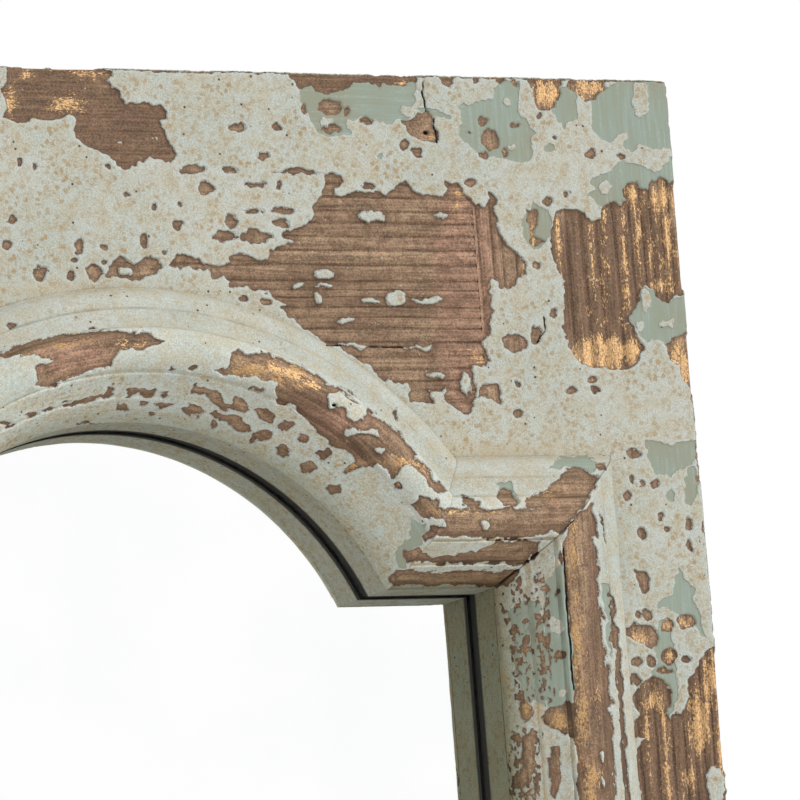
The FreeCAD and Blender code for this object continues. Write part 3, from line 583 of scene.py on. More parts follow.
def comb_lines(known):
    """Groove places from the photograph, carried on at the usual pitch on both sides."""
    known = sorted(known)
    rng = np.random.default_rng(3)
    before, after = [known[0]], [known[-1]]
    while before[-1] > known[0] - COMB_REACH:
        before.append(before[-1] - COMB_PITCH * rng.uniform(0.75, 1.25))
    while after[-1] < known[-1] + COMB_REACH:
        after.append(after[-1] + COMB_PITCH * rng.uniform(0.75, 1.25))
    return np.array(before[:0:-1] + known + after[1:])


head_grooves = comb_lines([on_flat(HEAD_COMB_COLUMN, row).z for row in HEAD_COMB_ROWS])
stile_grooves = comb_lines([on_flat(column, STILE_COMB_ROW).x for column in STILE_COMB_COLUMNS])


def comb_count(places, grooves):
    """Counts grooves passed, so that whole numbers are grooves and halves are ridges."""
    return np.interp(places, grooves, np.arange(len(grooves)))


def frayed(points, bare, cell):
    """Breaks up the edge of worn paint."""
    return bare + 0.5 * rough_noise(points, cell, 21) + 0.4 * rough_noise(points, 1.8 * MM, 25, 2)


def board_fields(points, normals, upright):
    """Wear of one frame board at each point of its skin."""
    facing = np.array(points)
    facing[:, 1] = front
    behind = np.clip(points[:, 1] - front, 0, None) / MM
    fields, share = photo_fields(facing, BOARD_MARKS)
    out = 1 - share
    flat_mm = flaked(facing, facing[:, [0, 2]] / MM * 1.5) / 1.5
    random_ribbed = marks(flat_mm, board_wear.bare, (), FIELD_REACH)
    random_bare = np.maximum(random_ribbed, marks(flat_mm, (), board_wear.spots, FIELD_REACH))
    random_under = marks(flat_mm, board_wear.undercoat, (), FIELD_REACH)
    random_gold = marks(flat_mm, (), board_wear.gold, FIELD_REACH)

    def mixed(name, random_values):
        """The photograph's marks inside its view, and random ones outside."""
        inside = fields[name] * share - FIELD_REACH * out
        return np.maximum(inside, random_values * out - FIELD_REACH * share)

    for name in PHOTO_ONLY:
        fields[name] = fields[name] - out * OUT_OF_SIGHT - behind * 4
    ribbed = np.maximum(fields["ribbed"] - out * OUT_OF_SIGHT, random_ribbed - share * OUT_OF_SIGHT)
    fields["ribbed"] = ribbed - behind
    bare = np.minimum(mixed("bare", random_bare), 10) - behind * 0.9
    undercoat = np.minimum(mixed("undercoat", random_under), 12) - behind * 0.7
    gold = mixed("gold", random_gold) - behind * 0.5
    # worn arrises, where two faces of the board meet
    walls = [points[:, 1] - front, back - points[:, 1], top - points[:, 2], half_width - np.abs(points[:, 0])]
    arris = np.partition(np.stack(walls), 1, axis=0)[1] / MM
    upper = smooth_step(points[:, 2], top - 6 * MM, top - 3 * MM) * (normals[:, 2] < 0.5)
    rubbed = 0.5 - arris + 1.6 * rough_noise(points, 22 * MM, 11)
    rubbed = rubbed + 1.1 * rough_noise(points, 5 * MM, 12) + 0.5 * upper
    fields["umber"] = np.maximum(fields["umber"], 6 * upper * (arris < 4) - FIELD_REACH * (1 - upper))
    on_side = (behind > 1) & (normals[:, 1] < 0.7)
    side_loss = 5.5 * rough_noise(points, 34 * MM, 14) - 4.4 - np.where(on_side, 0, OUT_OF_SIGHT)
    gold = np.maximum(gold, np.minimum(rubbed, 2.5 * rough_noise(points, 30 * MM, 15) - 0.6))
    fields["bare"] = frayed(points, np.maximum(np.maximum(bare, rubbed), side_loss), 4.5 * MM)
    fields["undercoat"] = undercoat + 0.9 * rough_noise(points, 5 * MM, 31)
    fields["gold"] = gold
    # the sawn back, with paint lapped over its edges
    lapped = arris - 7 + 4 * rough_noise(points, 16 * MM, 41)
    fields["raw"] = np.where(normals[:, 1] > 0.7, lapped, -FIELD_REACH)
    along, across = (points[:, 2], points[:, 0]) if upright else (points[:, 0], points[:, 2])
    stretch = np.array([1, 1, 0.25] if upright else [0.25, 1, 1])
    waver = 0.8 * MM * rough_noise(points * stretch, 30 * MM, 51)
    if upright:
        fields["comb"] = comb_count(np.abs(across) + waver, stile_grooves)
    else:
        fields["comb"] = comb_count(across + waver, head_grooves)
    fields["along"], fields["across"] = along / MM, (across + points[:, 1]) / MM
    fields["recess_shade_and_grime"] = np.zeros(len(points))
    fields["freckled"] = np.full(len(points), BOARD_FRECKLES)
    fields["painted_light"] = np.zeros(len(points))
    return fields


def moulding_distance(points):
    """How far points of the front lie outside the moulding's outer edge."""
    x, z = np.abs(points[:, 0]), points[:, 2]
    arch = np.hypot(x, z - arch_centre) - arch_radius - moulding_width
    shoulder = np.maximum(z - sight_shoulder - moulding_width, x - sight_side - moulding_width)
    lower = np.maximum(shoulder, sight_foot - moulding_width - z)
    return np.minimum(np.where(z > sight_shoulder, arch, 1), lower)


def wear_depth(fields, ribs):
    """How far the surface lies below the paint, in millimetres."""
    bare = smooth_step(fields["bare"], -0.4, 0.3)
    thin = smooth_step(fields["undercoat"], -0.5, 0.5)
    depth = PAINT_BODY * bare + TOP_COAT * thin * (1 - bare)
    if ribs:
        groove = (0.5 + 0.5 * np.cos(2 * math.pi * fields["comb"])) ** 2
        depth += COMB_DEPTH * groove * smooth_step(np.minimum(fields["bare"], fields["ribbed"]), 0, 1.6)
    depth += 1.4 * smooth_step(fields["crack"], -0.2, 0.6) + 3 * smooth_step(fields["hole"], -0.3, 0.6)
    return depth


DISTANCES = ("bare", "undercoat", "ribbed", "gold", "warm", "umber", "glaze", "crack", "hole", "raw")
WEAR_NAMES = DISTANCES + ("comb", "along", "across", "groove", "recess_shade_and_grime", "freckled", "painted_light")


def make_piece(name, points, faces, fields, smooth_faces, material, nodes):
    """An object that stands for CAD nodes, with its wear stored at its points."""
    mesh = bpy.data.meshes.new(name)
    mesh.from_pydata(points.tolist(), [], faces)
    mesh.polygons.foreach_set("use_smooth", smooth_faces)
    for key in WEAR_NAMES if fields else ():
        values = np.clip(fields[key], -FIELD_REACH, DEEPEST_FIELD) if key in DISTANCES else fields[key]
        layer = mesh.attributes.new(key, "FLOAT", "POINT")
        layer.data.foreach_set("value", np.ascontiguousarray(values, dtype=np.float32))
    mesh.materials.append(material)
    mesh.update()
    piece = bpy.data.objects.new(name, mesh)
    bpy.context.scene.collection.objects.link(piece)
    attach(piece, MAIN_BODY)
    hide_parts(*nodes)
    return piece


def grid_faces(rows, columns):
    index = np.arange(rows * columns).reshape(rows, columns)
    corners = [index[:-1, :-1], index[:-1, 1:], index[1:, 1:], index[1:, :-1]]
    return np.stack(corners, axis=-1).reshape(-1, 4)


def spaced(low, high, step, near_low=False, near_high=False):
    """Grid lines between two places, drawn together towards an arris."""
    close = np.array([0, 0.4, 0.9, 1.5, 2.3, 3.4]) * MM
    count = max(1, round((high - low) / step))
    lines = np.linspace(low, high, count + 1)
    if near_low:
        lines = np.concatenate([low + close, lines[lines > low + close[-1] + step * 0.4]])
    if near_high:
        lines = np.concatenate([lines[lines < high - close[-1] - step * 0.4], (high - close)[::-1]])
    return lines


def joined_lines(*parts):
    """Grid lines that follow on from each other, sharing the line where they meet."""
    lines = list(parts[0])
    for part in parts[1:]:
        lines += list(part[1:])
    return np.array(lines)


class Skin:
    """Outer faces of a board, gathered as grids before they are rounded and worn."""

    def __init__(self):
        self.points, self.faces, self.normals = [], [], []
        self.count = 0

    def add(self, first_lines, second_lines, place, normal, keep=None):
        first, second = np.meshgrid(first_lines, second_lines, indexing="ij")
        points = np.stack(np.broadcast_arrays(*place(first, second)), axis=-1).reshape(-1, 3)
        faces = grid_faces(len(first_lines), len(second_lines))
        corner = points[faces[0]]
        way = np.cross(corner[1] - corner[0], corner[2] - corner[0])
        if way @ np.array(normal) < 0:
            faces = faces[:, ::-1]
        if keep is not None:
            faces = faces[keep(points[faces].mean(axis=1))]
        self.points.append(points)
        self.faces.append(faces + self.count)
        self.normals.append(np.tile(np.array(normal, float), (len(points), 1)))
        self.count += len(points)

    def gathered(self):
        points, faces = np.concatenate(self.points), np.concatenate(self.faces)
        keys = np.round(points / (0.01 * MM)).astype(np.int64)
        _, first, where = np.unique(keys, axis=0, return_index=True, return_inverse=True)
        faces = where.reshape(-1)[faces]
        used, packed = np.unique(faces, return_inverse=True)
        normals = np.concatenate(self.normals)
        return points[first][used], packed.reshape(-1, 4), normals[first][used]


ARRIS_RADIUS = 1.7 * MM
SAME_PLANE = 0.02 * MM
SKIN_CLEARANCE = 2 * MM


def round_arrises(points, low, high):
    """Eases the arrises of a board's box, with an uneven hand."""
    radius = ARRIS_RADIUS * (1 + 0.45 * rough_noise(points, 30 * MM, 61))[:, None]
    inner = np.clip(points, low + radius, high - radius)
    offset = points - inner
    length = np.linalg.norm(offset, axis=1, keepdims=True)
    normals = offset / np.maximum(length, 1e-9)
    return inner + normals * radius, normals


def inner_faces(node, planes):
    """A CAD board's hidden and inner faces, drawn back a little from the planes that the skin takes over."""
    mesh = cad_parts[node].data
    mesh.calc_loop_triangles()
    points = np.zeros(len(mesh.vertices) * 3, np.float32)
    mesh.vertices.foreach_get("co", points)
    points = points.reshape(-1, 3).astype(float)
    triangles = np.zeros(len(mesh.loop_triangles) * 3, np.int32)
    mesh.loop_triangles.foreach_get("vertices", triangles)
    triangles = triangles.reshape(-1, 3)
    keep = np.ones(len(triangles), bool)
    for axis, level in planes:
        keep &= ~np.all(np.abs(points[triangles][:, :, axis] - level) < SAME_PLANE, axis=1)
    for axis, level in planes:
        rim = np.abs(points[:, axis] - level) < SAME_PLANE
        points[rim, axis] -= math.copysign(SKIN_CLEARANCE, level)
    return points, triangles[keep]


def make_board(name, node, skin, low, high, planes, upright, material, recess_shade_and_grime=1.0):
    """A board: its worn skin, with the CAD board's hidden and inner faces behind it."""
    points, faces, flat_normals = skin.gathered()
    rounded, normals = round_arrises(points, np.array(low), np.array(high))
    fields = board_fields(points, flat_normals, upright)
    edge = np.clip(moulding_distance(points) / MM, 0, FAR_FROM_GROOVE)
    fields["groove"] = np.where(flat_normals[:, 1] < -0.5, edge, FAR_FROM_GROOVE)
    rounded -= normals * (wear_depth(fields, True) * MM)[:, None]
    hidden, triangles = inner_faces(node, planes)
    inner_values = {"along": hidden[:, 2] / MM, "across": hidden[:, 0] / MM, "raw": -1.0, "recess_shade_and_grime": recess_shade_and_grime,
                    "groove": FAR_FROM_GROOVE, "freckled": BOARD_FRECKLES, "painted_light": 0.0}
    for key, value in fields.items():
        inner = np.zeros(len(hidden)) + inner_values.get(key, -FIELD_REACH)
        fields[key] = np.concatenate([value, inner])
    all_faces = faces.tolist() + (triangles + len(rounded)).tolist()
    smooth = [True] * len(faces) + [False] * len(triangles)
    all_points = np.concatenate([rounded, hidden])
    return make_piece(name, all_points, all_faces, fields, smooth, material, [node])


FAR = 10.0
CLOSE_STEP = 1.15 * MM
BACK_STEP = 14 * MM
BACK_END_STEP = 6 * MM
PHOTO_FOOT = 1.32
UNDER_MOULDING = 9 * MM
REBATE_WIDTH = 12 * MM
# the arch gets less of the painted shade and grime in the opening than the uprights
HEAD_RECESS_SHADE_AND_GRIME = 0.55
TOWARD, REARWARD, UPWARD = (0, -1, 0), (0, 1, 0), (0, 0, 1)
depth_lines = joined_lines(spaced(front, 0, 4 * MM, near_low=True), spaced(0, back, 6 * MM, near_high=True))


def stile_board(side, material):
    """One upright; the right one is finest where the photograph looks."""
    node = "right_stile" if side > 0 else "left_stile"
    close, wide = (CLOSE_STEP, 4 * MM) if side > 0 else (2 * MM, 2.6 * MM)
    strip = sight_side + moulding_width - UNDER_MOULDING
    upper = sight_shoulder + moulding_width - UNDER_MOULDING
    lower = sight_foot - moulding_width + UNDER_MOULDING
    rebate_side = joint_side + REBATE_WIDTH
    outer_lines = spaced(strip, half_width, close, near_high=True)
    wide_lines = joined_lines(spaced(joint_side, strip, close), outer_lines)
    foot_lines = spaced(foot, lower, wide)
    middle_lines = joined_lines(spaced(lower, PHOTO_FOOT, wide), spaced(PHOTO_FOOT, upper, close))
    upper_lines = spaced(upper, top, close, near_high=True)
    all_lines = joined_lines(foot_lines, middle_lines, upper_lines)
    back_lines = joined_lines(spaced(joint_side, rebate_side, BACK_END_STEP),
                              spaced(rebate_side, half_width, BACK_STEP, near_high=True))

    def clear_of_rebate(middles):
        beyond = (middles[:, 2] > crown + REBATE_WIDTH) | (middles[:, 2] < sight_foot - REBATE_WIDTH)
        return beyond | (np.abs(middles[:, 0]) > rebate_side)

    skin = Skin()
    for across, up in ((wide_lines, upper_lines), (outer_lines, middle_lines), (wide_lines, foot_lines)):
        skin.add(across, up, lambda a, b: (side * a, front, b), TOWARD)
    skin.add(depth_lines, all_lines, lambda a, b: (side * half_width, a, b), (side, 0, 0))
    skin.add(wide_lines, depth_lines, lambda a, b: (side * a, b, top), UPWARD)
    skin.add(back_lines, all_lines, lambda a, b: (side * a, back, b), REARWARD, clear_of_rebate)
    low = (-FAR if side > 0 else -half_width, front, -FAR)
    high = (half_width if side > 0 else FAR, back, top)
    planes = [(1, front), (1, back), (2, top), (0, side * half_width)]
    return make_board(f"{node}_wood", node, skin, low, high, planes, True, material)


def head_board(material):
    """The arched board on top, finest where the photograph looks."""
    photo_side = -75 * MM
    across = joined_lines(spaced(-joint_side, photo_side, 2.2 * MM),
                          spaced(photo_side, joint_side, CLOSE_STEP))
    lower = sight_shoulder + moulding_width - UNDER_MOULDING
    up = spaced(lower, top, CLOSE_STEP, near_high=True)
    back_across = spaced(-joint_side, joint_side, BACK_END_STEP)
    back_up = spaced(crown + REBATE_WIDTH, top, BACK_STEP, near_high=True)

    def clear_of_arch(middles):
        radius = arch_radius + moulding_width - UNDER_MOULDING
        return np.hypot(middles[:, 0], middles[:, 2] - arch_centre) > radius

    skin = Skin()
    skin.add(across, up, lambda a, b: (a, front, b), TOWARD, clear_of_arch)
    skin.add(across, depth_lines, lambda a, b: (a, b, top), UPWARD)
    skin.add(back_across, back_up, lambda a, b: (a, back, b), REARWARD)
    low, high = (-FAR, front, -FAR), (FAR, back, top)
    planes = [(1, front), (1, back), (2, top)]
    return make_board("head_board_wood", "head_board", skin, low, high, planes, False, material, HEAD_RECESS_SHADE_AND_GRIME)


def bottom_rail(material):
    """The board along the floor."""
    step, back_step = 2.4 * MM, 8 * MM
    upper = sight_foot - moulding_width + UNDER_MOULDING
    back_across = spaced(-joint_side, joint_side, back_step)
    back_up = spaced(foot, sight_foot - REBATE_WIDTH, BACK_STEP)
    skin = Skin()
    across, up = spaced(-joint_side, joint_side, step), spaced(foot, upper, step)
    skin.add(across, up, lambda a, b: (a, front, b), TOWARD)
    skin.add(back_across, back_up, lambda a, b: (a, back, b), REARWARD)
    low, high = (-FAR, front, -FAR), (FAR, back, FAR)
    planes = [(1, front), (1, back)]
    return make_board("bottom_rail_wood", "bottom_rail", skin, low, high, planes, False, material)


def arc_points(start, middle, end, count):
    """Points on the arc through three points of the section."""
    (ax, ay), (bx, by), (cx, cy) = start, middle, end
    scale = 2 * (ax * (by - cy) + bx * (cy - ay) + cx * (ay - by))
    a2, b2, c2 = ax * ax + ay * ay, bx * bx + by * by, cx * cx + cy * cy
    ux = (a2 * (by - cy) + b2 * (cy - ay) + c2 * (ay - by)) / scale
    uy = (a2 * (cx - bx) + b2 * (ax - cx) + c2 * (bx - ax)) / scale
    radius = math.hypot(ax - ux, ay - uy)
    turns = np.unwrap([math.atan2(y - uy, x - ux) for x, y in (start, middle, end)])
    turn = np.linspace(turns[0], turns[2], count)
    return np.stack([ux + radius * np.cos(turn), uy + radius * np.sin(turn)], axis=1)


OUTER_EASE, ARCH_EASE = 2 * MM, 5.5 * MM
EASED_SHARE = 0.36
SECTION_POINTS = 2000
TINY = 1e-12


def running_mean(path, reach, length):
    """Smooths an evenly spaced path over a given reach along it."""
    window = np.hanning(int(reach / (length / len(path))) | 1)
    window /= window.sum()
    padded = np.pad(path, ((len(window) // 2, len(window) // 2), (0, 0)), mode="edge")
    return np.stack([np.convolve(padded[:, axis], window, mode="valid") for axis in (0, 1)], axis=1)


def moulding_section(step, ease):
    """The moulding's face from the edge of the opening outwards: across, and proud of the boards."""
    def face(shares):
        return moulding_width * shares[0], moulding_rise * shares[1]

    line = [np.array([(0.0, -leg_depth), (0.0, -leg_depth * (1 - SIGHT_EDGE_SHARE))])]
    ends = [face(corner) for corner, _ in BAND_SHARES] + [(moulding_width, 0.0)]
    middles = [middle and face(middle) for _, middle in BAND_SHARES]
    for index, corner in enumerate(ends):
        line.append(np.array([corner]))
        if index < len(middles) and middles[index]:
            line.append(arc_points(corner, middles[index], ends[index + 1], 40)[1:-1])
    line = np.concatenate(line)
    length = np.concatenate([[0], np.cumsum(np.linalg.norm(np.diff(line, axis=0), axis=1))])
    fine = np.linspace(0, length[-1], SECTION_POINTS)
    path = np.stack([np.interp(fine, length, line[:, axis]) for axis in (0, 1)], axis=1)
    # worn arrises: the section is eased by a running mean, which may be longer on the inner bands
    inner = 1 - smooth_step(path[:, :1] / moulding_width, 0.29, 0.34)
    eased = running_mean(path, ease, length[-1]) * inner
    eased = eased + running_mean(path, OUTER_EASE, length[-1]) * (1 - inner)
    count = round(length[-1] / step)
    keep = np.linspace(0, SECTION_POINTS - 1, count + 1).round().astype(int)
    section = eased[keep]
    section[0], section[-1] = path[0], path[-1]
    return section


def moulding_fields(points, across, along):
    """Wear of a run of moulding at each point of its face."""
    fields, share = photo_fields(points, MOULDING_MARKS)
    out = 1 - share
    shares = across / moulding_width

    def away(place):
        """Millimetres across the face from a share of its width."""
        return np.abs(shares - place) * moulding_width / MM

    middle = sum(BEAD_SHARES) / 2
    half_bead = (BEAD_SHARES[1] - BEAD_SHARES[0]) / 2 * moulding_width / MM
    run = np.stack([along, across * 0.6, np.zeros_like(along)], axis=1)
    bead = half_bead - away(middle) + 3 * rough_noise(run, 12 * MM, 71)
    bead_loss = np.minimum(bead, 7 * rough_noise(run, 75 * MM, 72) + 2.6)
    crests = np.maximum(2.2 - away(0.12) * 0.6, 2.4 - away(0.27) * 0.6)
    band_loss = crests + 4 * rough_noise(run, 18 * MM, 73) - 2.2
    chips = 5 * rough_noise(run, 9 * MM, 74) - 3.6
    random_bare = np.maximum(np.maximum(bead_loss, band_loss), chips)
    random_under = 6 * rough_noise(run, 40 * MM, 75) - 3.0
    random_gold = 3 - away(0.34) * 0.7 + 5 * rough_noise(run, 26 * MM, 76) - 1.2
    bare = fields["bare"] * share + np.clip(random_bare, -FIELD_REACH, FIELD_REACH) * out
    undercoat = fields["undercoat"] * share + random_under * out
    for name in PHOTO_ONLY:
        fields[name] = fields[name] - out * OUT_OF_SIGHT
    fields["bare"] = frayed(points, bare, 4 * MM)
    fields["undercoat"] = undercoat + 0.9 * rough_noise(points, 5 * MM, 31)
    fields["gold"] = fields["gold"] * share + random_gold * out
    fields["raw"] = np.full(len(points), -float(FIELD_REACH))
    # painted shade deep in the opening, with grime: darker towards the seat of the moulding
    fields["recess_shade_and_grime"] = smooth_step(points[:, 1], front - 0.3 * moulding_rise, front + leg_depth)
    fields["freckled"] = 0.95 - 0.6 * smooth_step(shares, 0.22, 0.4)
    # painted light: the inner bands and the bead are lightened where they turn from the lamps
    fields["painted_light"] = 1 - 0.4 * smooth_step(shares, 0.26, 0.34) - 0.58 * smooth_step(shares, 0.6, 0.7)
    fields["comb"] = across / (3.1 * MM)
    fields["along"], fields["across"] = along / MM, across / MM
    fields["groove"] = np.min([away(place) for place in GROOVE_SHARES], axis=0)
    return fields


def make_moulding(node, plan, along_of, stations, step, material, ease=OUTER_EASE, recess_shade_and_grime=1.0):
    """A run of moulding: its section carried along a plan and closed behind and at its mitres."""
    section = moulding_section(step, ease)
    face_rows = len(section)
    loop = np.concatenate([section, [(LEG_WIDTH, 0.0), (LEG_WIDTH, -leg_depth)]])
    across, station = np.meshgrid(loop[:, 0], stations, indexing="ij")
    x, z = plan(across, station)
    points = np.stack([x, front - np.broadcast_to(loop[:, 1][:, None], x.shape), z], axis=-1)
    rows, columns = x.shape
    run_way = np.gradient(points, axis=1)[:face_rows]
    face_way = np.gradient(points[:face_rows], axis=0)
    normals = np.cross(face_way, run_way)
    normals /= np.maximum(np.linalg.norm(normals, axis=-1, keepdims=True), TINY)
    if normals[..., 1].mean() > 0:
        normals = -normals
    flat_points = points.reshape(-1, 3)
    fields = moulding_fields(flat_points, across.reshape(-1), along_of(across, station).reshape(-1))
    inner = across.reshape(-1) < EASED_SHARE * moulding_width
    fields["groove"] += np.where(inner, 0.8 * (ease - OUTER_EASE) / MM, 0)
    fields["recess_shade_and_grime"] *= recess_shade_and_grime
    sway = 0.25 * lattice_noise(flat_points, 38 * MM, 81) + 0.22 * rough_noise(flat_points, 11 * MM, 82)
    sunk = (wear_depth(fields, False) + sway).reshape(rows, columns)[:face_rows]
    fade = np.sin(np.linspace(0, math.pi, face_rows))[:, None] ** 0.25
    points[:face_rows] -= normals * (sunk * fade * MM)[..., None]
    seam = np.arange(columns - 1)
    last = seam + (rows - 1) * columns
    closing = np.stack([last, last + 1, seam + 1, seam], axis=1)
    faces = np.concatenate([grid_faces(rows, columns), closing])
    points = points.reshape(-1, 3)
    corner = points[faces[columns * (face_rows // 2)]]
    if np.cross(corner[1] - corner[0], corner[2] - corner[0])[1] > 0:
        faces = faces[:, ::-1]
    caps = [list(range(start, rows * columns, columns)) for start in (0, columns - 1)]
    smooth = [True] * len(faces) + [False] * len(caps)
    all_faces = faces.tolist() + caps
    return make_piece(f"{node}_run", points, all_faces, fields, smooth, material, [node])


MITRE_GAP = 0.2 * MM
# Places along the noise that give each run of moulding a wear of its own
STILE_SHIFT, BOTTOM_SHIFT, SHOULDER_SHIFT, ARCH_SHIFT = 0.7, 3.1, 5.3, 9.7


def stile_moulding(side, material):
    """An upright run, finest on the right where the photograph looks."""
    run = sight_shoulder - sight_foot
    photo_share_of_run = (PHOTO_FOOT - sight_foot) / run
    close, wide, step = (CLOSE_STEP, 4.2 * MM, 0.7 * MM) if side > 0 else (2.4 * MM, 3.2 * MM, 1.3 * MM)
    lower = spaced(0, photo_share_of_run, wide / run)
    stations = joined_lines(lower, spaced(photo_share_of_run, 1, close / run))

    def plan(across, station):
        low, high = sight_foot - across + MITRE_GAP, sight_shoulder + across - MITRE_GAP
        return side * (sight_side + across), low + (high - low) * station

    node = "right_stile_moulding" if side > 0 else "left_stile_moulding"
    return make_moulding(node, plan, lambda a, s: plan(a, s)[1] + side * STILE_SHIFT, stations, step,
                         material)


def bottom_moulding(material):
    """The run along the foot of the opening."""
    def plan(across, station):
        half = sight_side + across - MITRE_GAP
        return half * (2 * station - 1), sight_foot - across

    step = 1.4 * MM
    stations = spaced(0, 1, 2.6 * MM / (2 * sight_side))
    return make_moulding("bottom_moulding", plan, lambda a, s: plan(a, s)[0] + BOTTOM_SHIFT, stations, step,
                         material)


def shoulder_moulding(side, material):
    """A short level run between the arch and an upright."""
    def plan(across, station):
        start = arch_end + (mitre_end - arch_end) * across / moulding_width
        end = sight_side + across - MITRE_GAP
        return side * (start + (end - start) * station), sight_shoulder + across

    node = "right_shoulder_moulding" if side > 0 else "left_shoulder_moulding"
    step = 0.7 * MM if side > 0 else 1.3 * MM
    stations = spaced(0, 1, step / (sight_side - arch_end))
    return make_moulding(node, plan, lambda a, s: plan(a, s)[0] + SHOULDER_SHIFT, stations, step, material)


def arch_moulding(material):
    """The curved run over the opening, finest from the crown to the right."""
    slope = np.array([mitre_end - arch_end, moulding_width])
    slope /= np.linalg.norm(slope)
    foot_of_mitre = np.array([arch_end, sight_shoulder - arch_centre])

    def half_turn(across):
        """Angle from the crown to the mitre on the circle at this distance from the opening."""
        reach = foot_of_mitre @ slope
        gap = foot_of_mitre @ foot_of_mitre - (arch_radius + across) ** 2
        step = -reach + np.sqrt(np.maximum(reach ** 2 - gap, 0))
        return np.arctan2(foot_of_mitre[0] + slope[0] * step, foot_of_mitre[1] + slope[1] * step)

    def plan(across, station):
        turn = half_turn(across) * (2 * station - 1)
        radius = arch_radius + across
        return radius * np.sin(turn), arch_centre + radius * np.cos(turn)

    photo_start, wide, close = 0.36, 0.0045, 0.0021
    stations = joined_lines(spaced(0, photo_start, wide), spaced(photo_start, 1, close))
    half_length = 0.24
    return make_moulding("arch_moulding", plan, lambda a, s: (2 * s - 1) * half_length + ARCH_SHIFT, stations,
                         0.72 * MM, material, ARCH_EASE, HEAD_RECESS_SHADE_AND_GRIME)


def fixing_places(node, wide):
    """Middles of the rear faces of a node's separate fixings, each one less than this wide."""
    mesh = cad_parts[node].data
    points = np.array([vertex.co for vertex in mesh.vertices])
    left = points[points[:, 1] > points[:, 1].max() - 0.01 * MM]
    places = []
    while len(left):
        near = np.linalg.norm(left - left[0], axis=1) < wide
        places.append((left[near].min(0) + left[near].max(0)) / 2)
        left = left[~near]
    return places


def turned_heads(name, node, radius, height, profile, hollow, material):
    """Rounded heads on the back, one over each fixing; profile and hollow are shares of radius and height."""
    around = 48
    turn = np.linspace(0, 2 * math.pi, around, endpoint=False)
    reach, rise = np.array(profile).T
    u, v = np.outer(reach, np.cos(turn)), np.outer(reach, np.sin(turn))
    lift = rise[:, None] - hollow(u, v) * (rise[:, None] > 0.5)
    index = np.arange(len(profile) * around).reshape(len(profile), around)
    beside = np.roll(index, -1, axis=1)
    quads = np.stack([index[:-1], index[1:], beside[1:], beside[:-1]], axis=-1).reshape(-1, 4)
    points, faces = [], []
    for x, y, z in fixing_places(node, 2.2 * radius):
        faces.append(quads + len(points) * u.size)
        head = np.stack([x + radius * u, y - height * (1 - lift), z + radius * v], axis=-1)
        points.append(head.reshape(-1, 3))
    points, faces = np.concatenate(points), np.concatenate(faces)
    corner = points[faces[len(quads) // 2]]
    if np.cross(corner[2] - corner[0], corner[3] - corner[1])[1] < 0:
        faces = faces[:, ::-1]
    return make_piece(name, points, faces.tolist(), None, [True] * len(faces), material, [node])


SCREW_HEAD = [(1, 0), (1, 0.4), (0.985, 0.56), (0.94, 0.7), (0.87, 0.82), (0.78, 0.9), (0.7, 0.94)] + [
    (share, 1 - 0.12 * share ** 2)
    for share in (0.64, 0.58, 0.52, 0.46, 0.4, 0.34, 0.28, 0.22, 0.17, 0.12, 0.08, 0.04, 0.004)]
BUMPER_HEAD = [
    (1, 0), (1, 0.5), (0.99, 0.64), (0.96, 0.76), (0.9, 0.87), (0.82, 0.94), (0.72, 0.98), (0.6, 1.0),
    (0.45, 1.0), (0.4, 0.99), (0.37, 0.9), (0.35, 0.7), (0.34, 0.6), (0.2, 0.58), (0.1, 0.57), (0.005, 0.57)]


def cross_slot(u, v):
    """A cross-shaped recess, as shares of the head's radius and height."""
    long_arm, half_arm = 0.6, 0.12
    inside = np.maximum(np.minimum(long_arm - np.abs(u), half_arm - np.abs(v)),
                        np.minimum(half_arm - np.abs(u), long_arm - np.abs(v)))
    return 0.42 * smooth_step(inside, -0.03, 0.06)


def no_slot(u, v):
    return np.zeros_like(u)


# Finishes
def srgb(red, green, blue):
    def linear(value):
        value /= 255
        return value / 12.92 if value <= 0.04045 else ((value + 0.055) / 1.055) ** 2.4
    return (linear(red), linear(green), linear(blue), 1)


PALE_PAINT = srgb(199, 202, 192)
COOL_PAINT = srgb(189, 196, 187)
WARM_PAINT = srgb(192, 180, 150)
# pale specks in the paint and undercoat, and painted highlight along the rims of worn patches
PALE_SPECK_AND_RIM_HIGHLIGHT = srgb(202, 207, 200)
FRECKLE_TAN = srgb(172, 150, 116)
FRECKLE_OCHRE = srgb(176, 152, 112)
# painted shade in pinholes
PINHOLE_SHADE = srgb(70, 60, 48)
STAIN = srgb(184, 168, 134)
GLAZE_OCHRE = srgb(196, 164, 104)
UNDERCOAT_TEAL = srgb(153, 166, 153)
UNDERCOAT_DULL = srgb(153, 156, 137)
UNDERCOAT_PALE = srgb(176, 186, 174)
WOOD_BROWN = srgb(170, 142, 114)
WOOD_DARK = srgb(106, 81, 62)
WOOD_WARM = srgb(172, 134, 112)
COMB_SHADE = srgb(66, 48, 38)
GOLD_BRIGHT = srgb(212, 174, 124)
GOLD_DEEP = srgb(162, 124, 82)
CRACK_BLACK = srgb(16, 13, 10)
RAW_PINE = srgb(166, 134, 96)
RAW_DARK = srgb(130, 99, 68)
# painted shade for the strip by the glass, also the colour of the dark joint behind the moulding
EDGE_SHADE_AND_JOINT_DARK = srgb(40, 39, 34)
# painted shade, with grime, in the opening
RECESS_SHADE_AND_GRIME_TINT = srgb(172, 171, 152)
# painted shade, with dirt, in the grooves
CREVICE_SHADE_AND_DIRT = srgb(98, 88, 68)
# painted light that dodges the moulding's inner bands
PAINTED_LIGHT_TINT = (0.9, 0.9, 0.9, 1)
CLEAN_SILVER, SMEARED_SILVER = (0.985, 0.99, 0.985, 1), (0.96, 0.97, 0.965, 1)
# depths of the inner face that take the strip of painted shade by the glass
SHADED_STRIP_DEPTH = (13.5 * MM, 16.5 * MM)


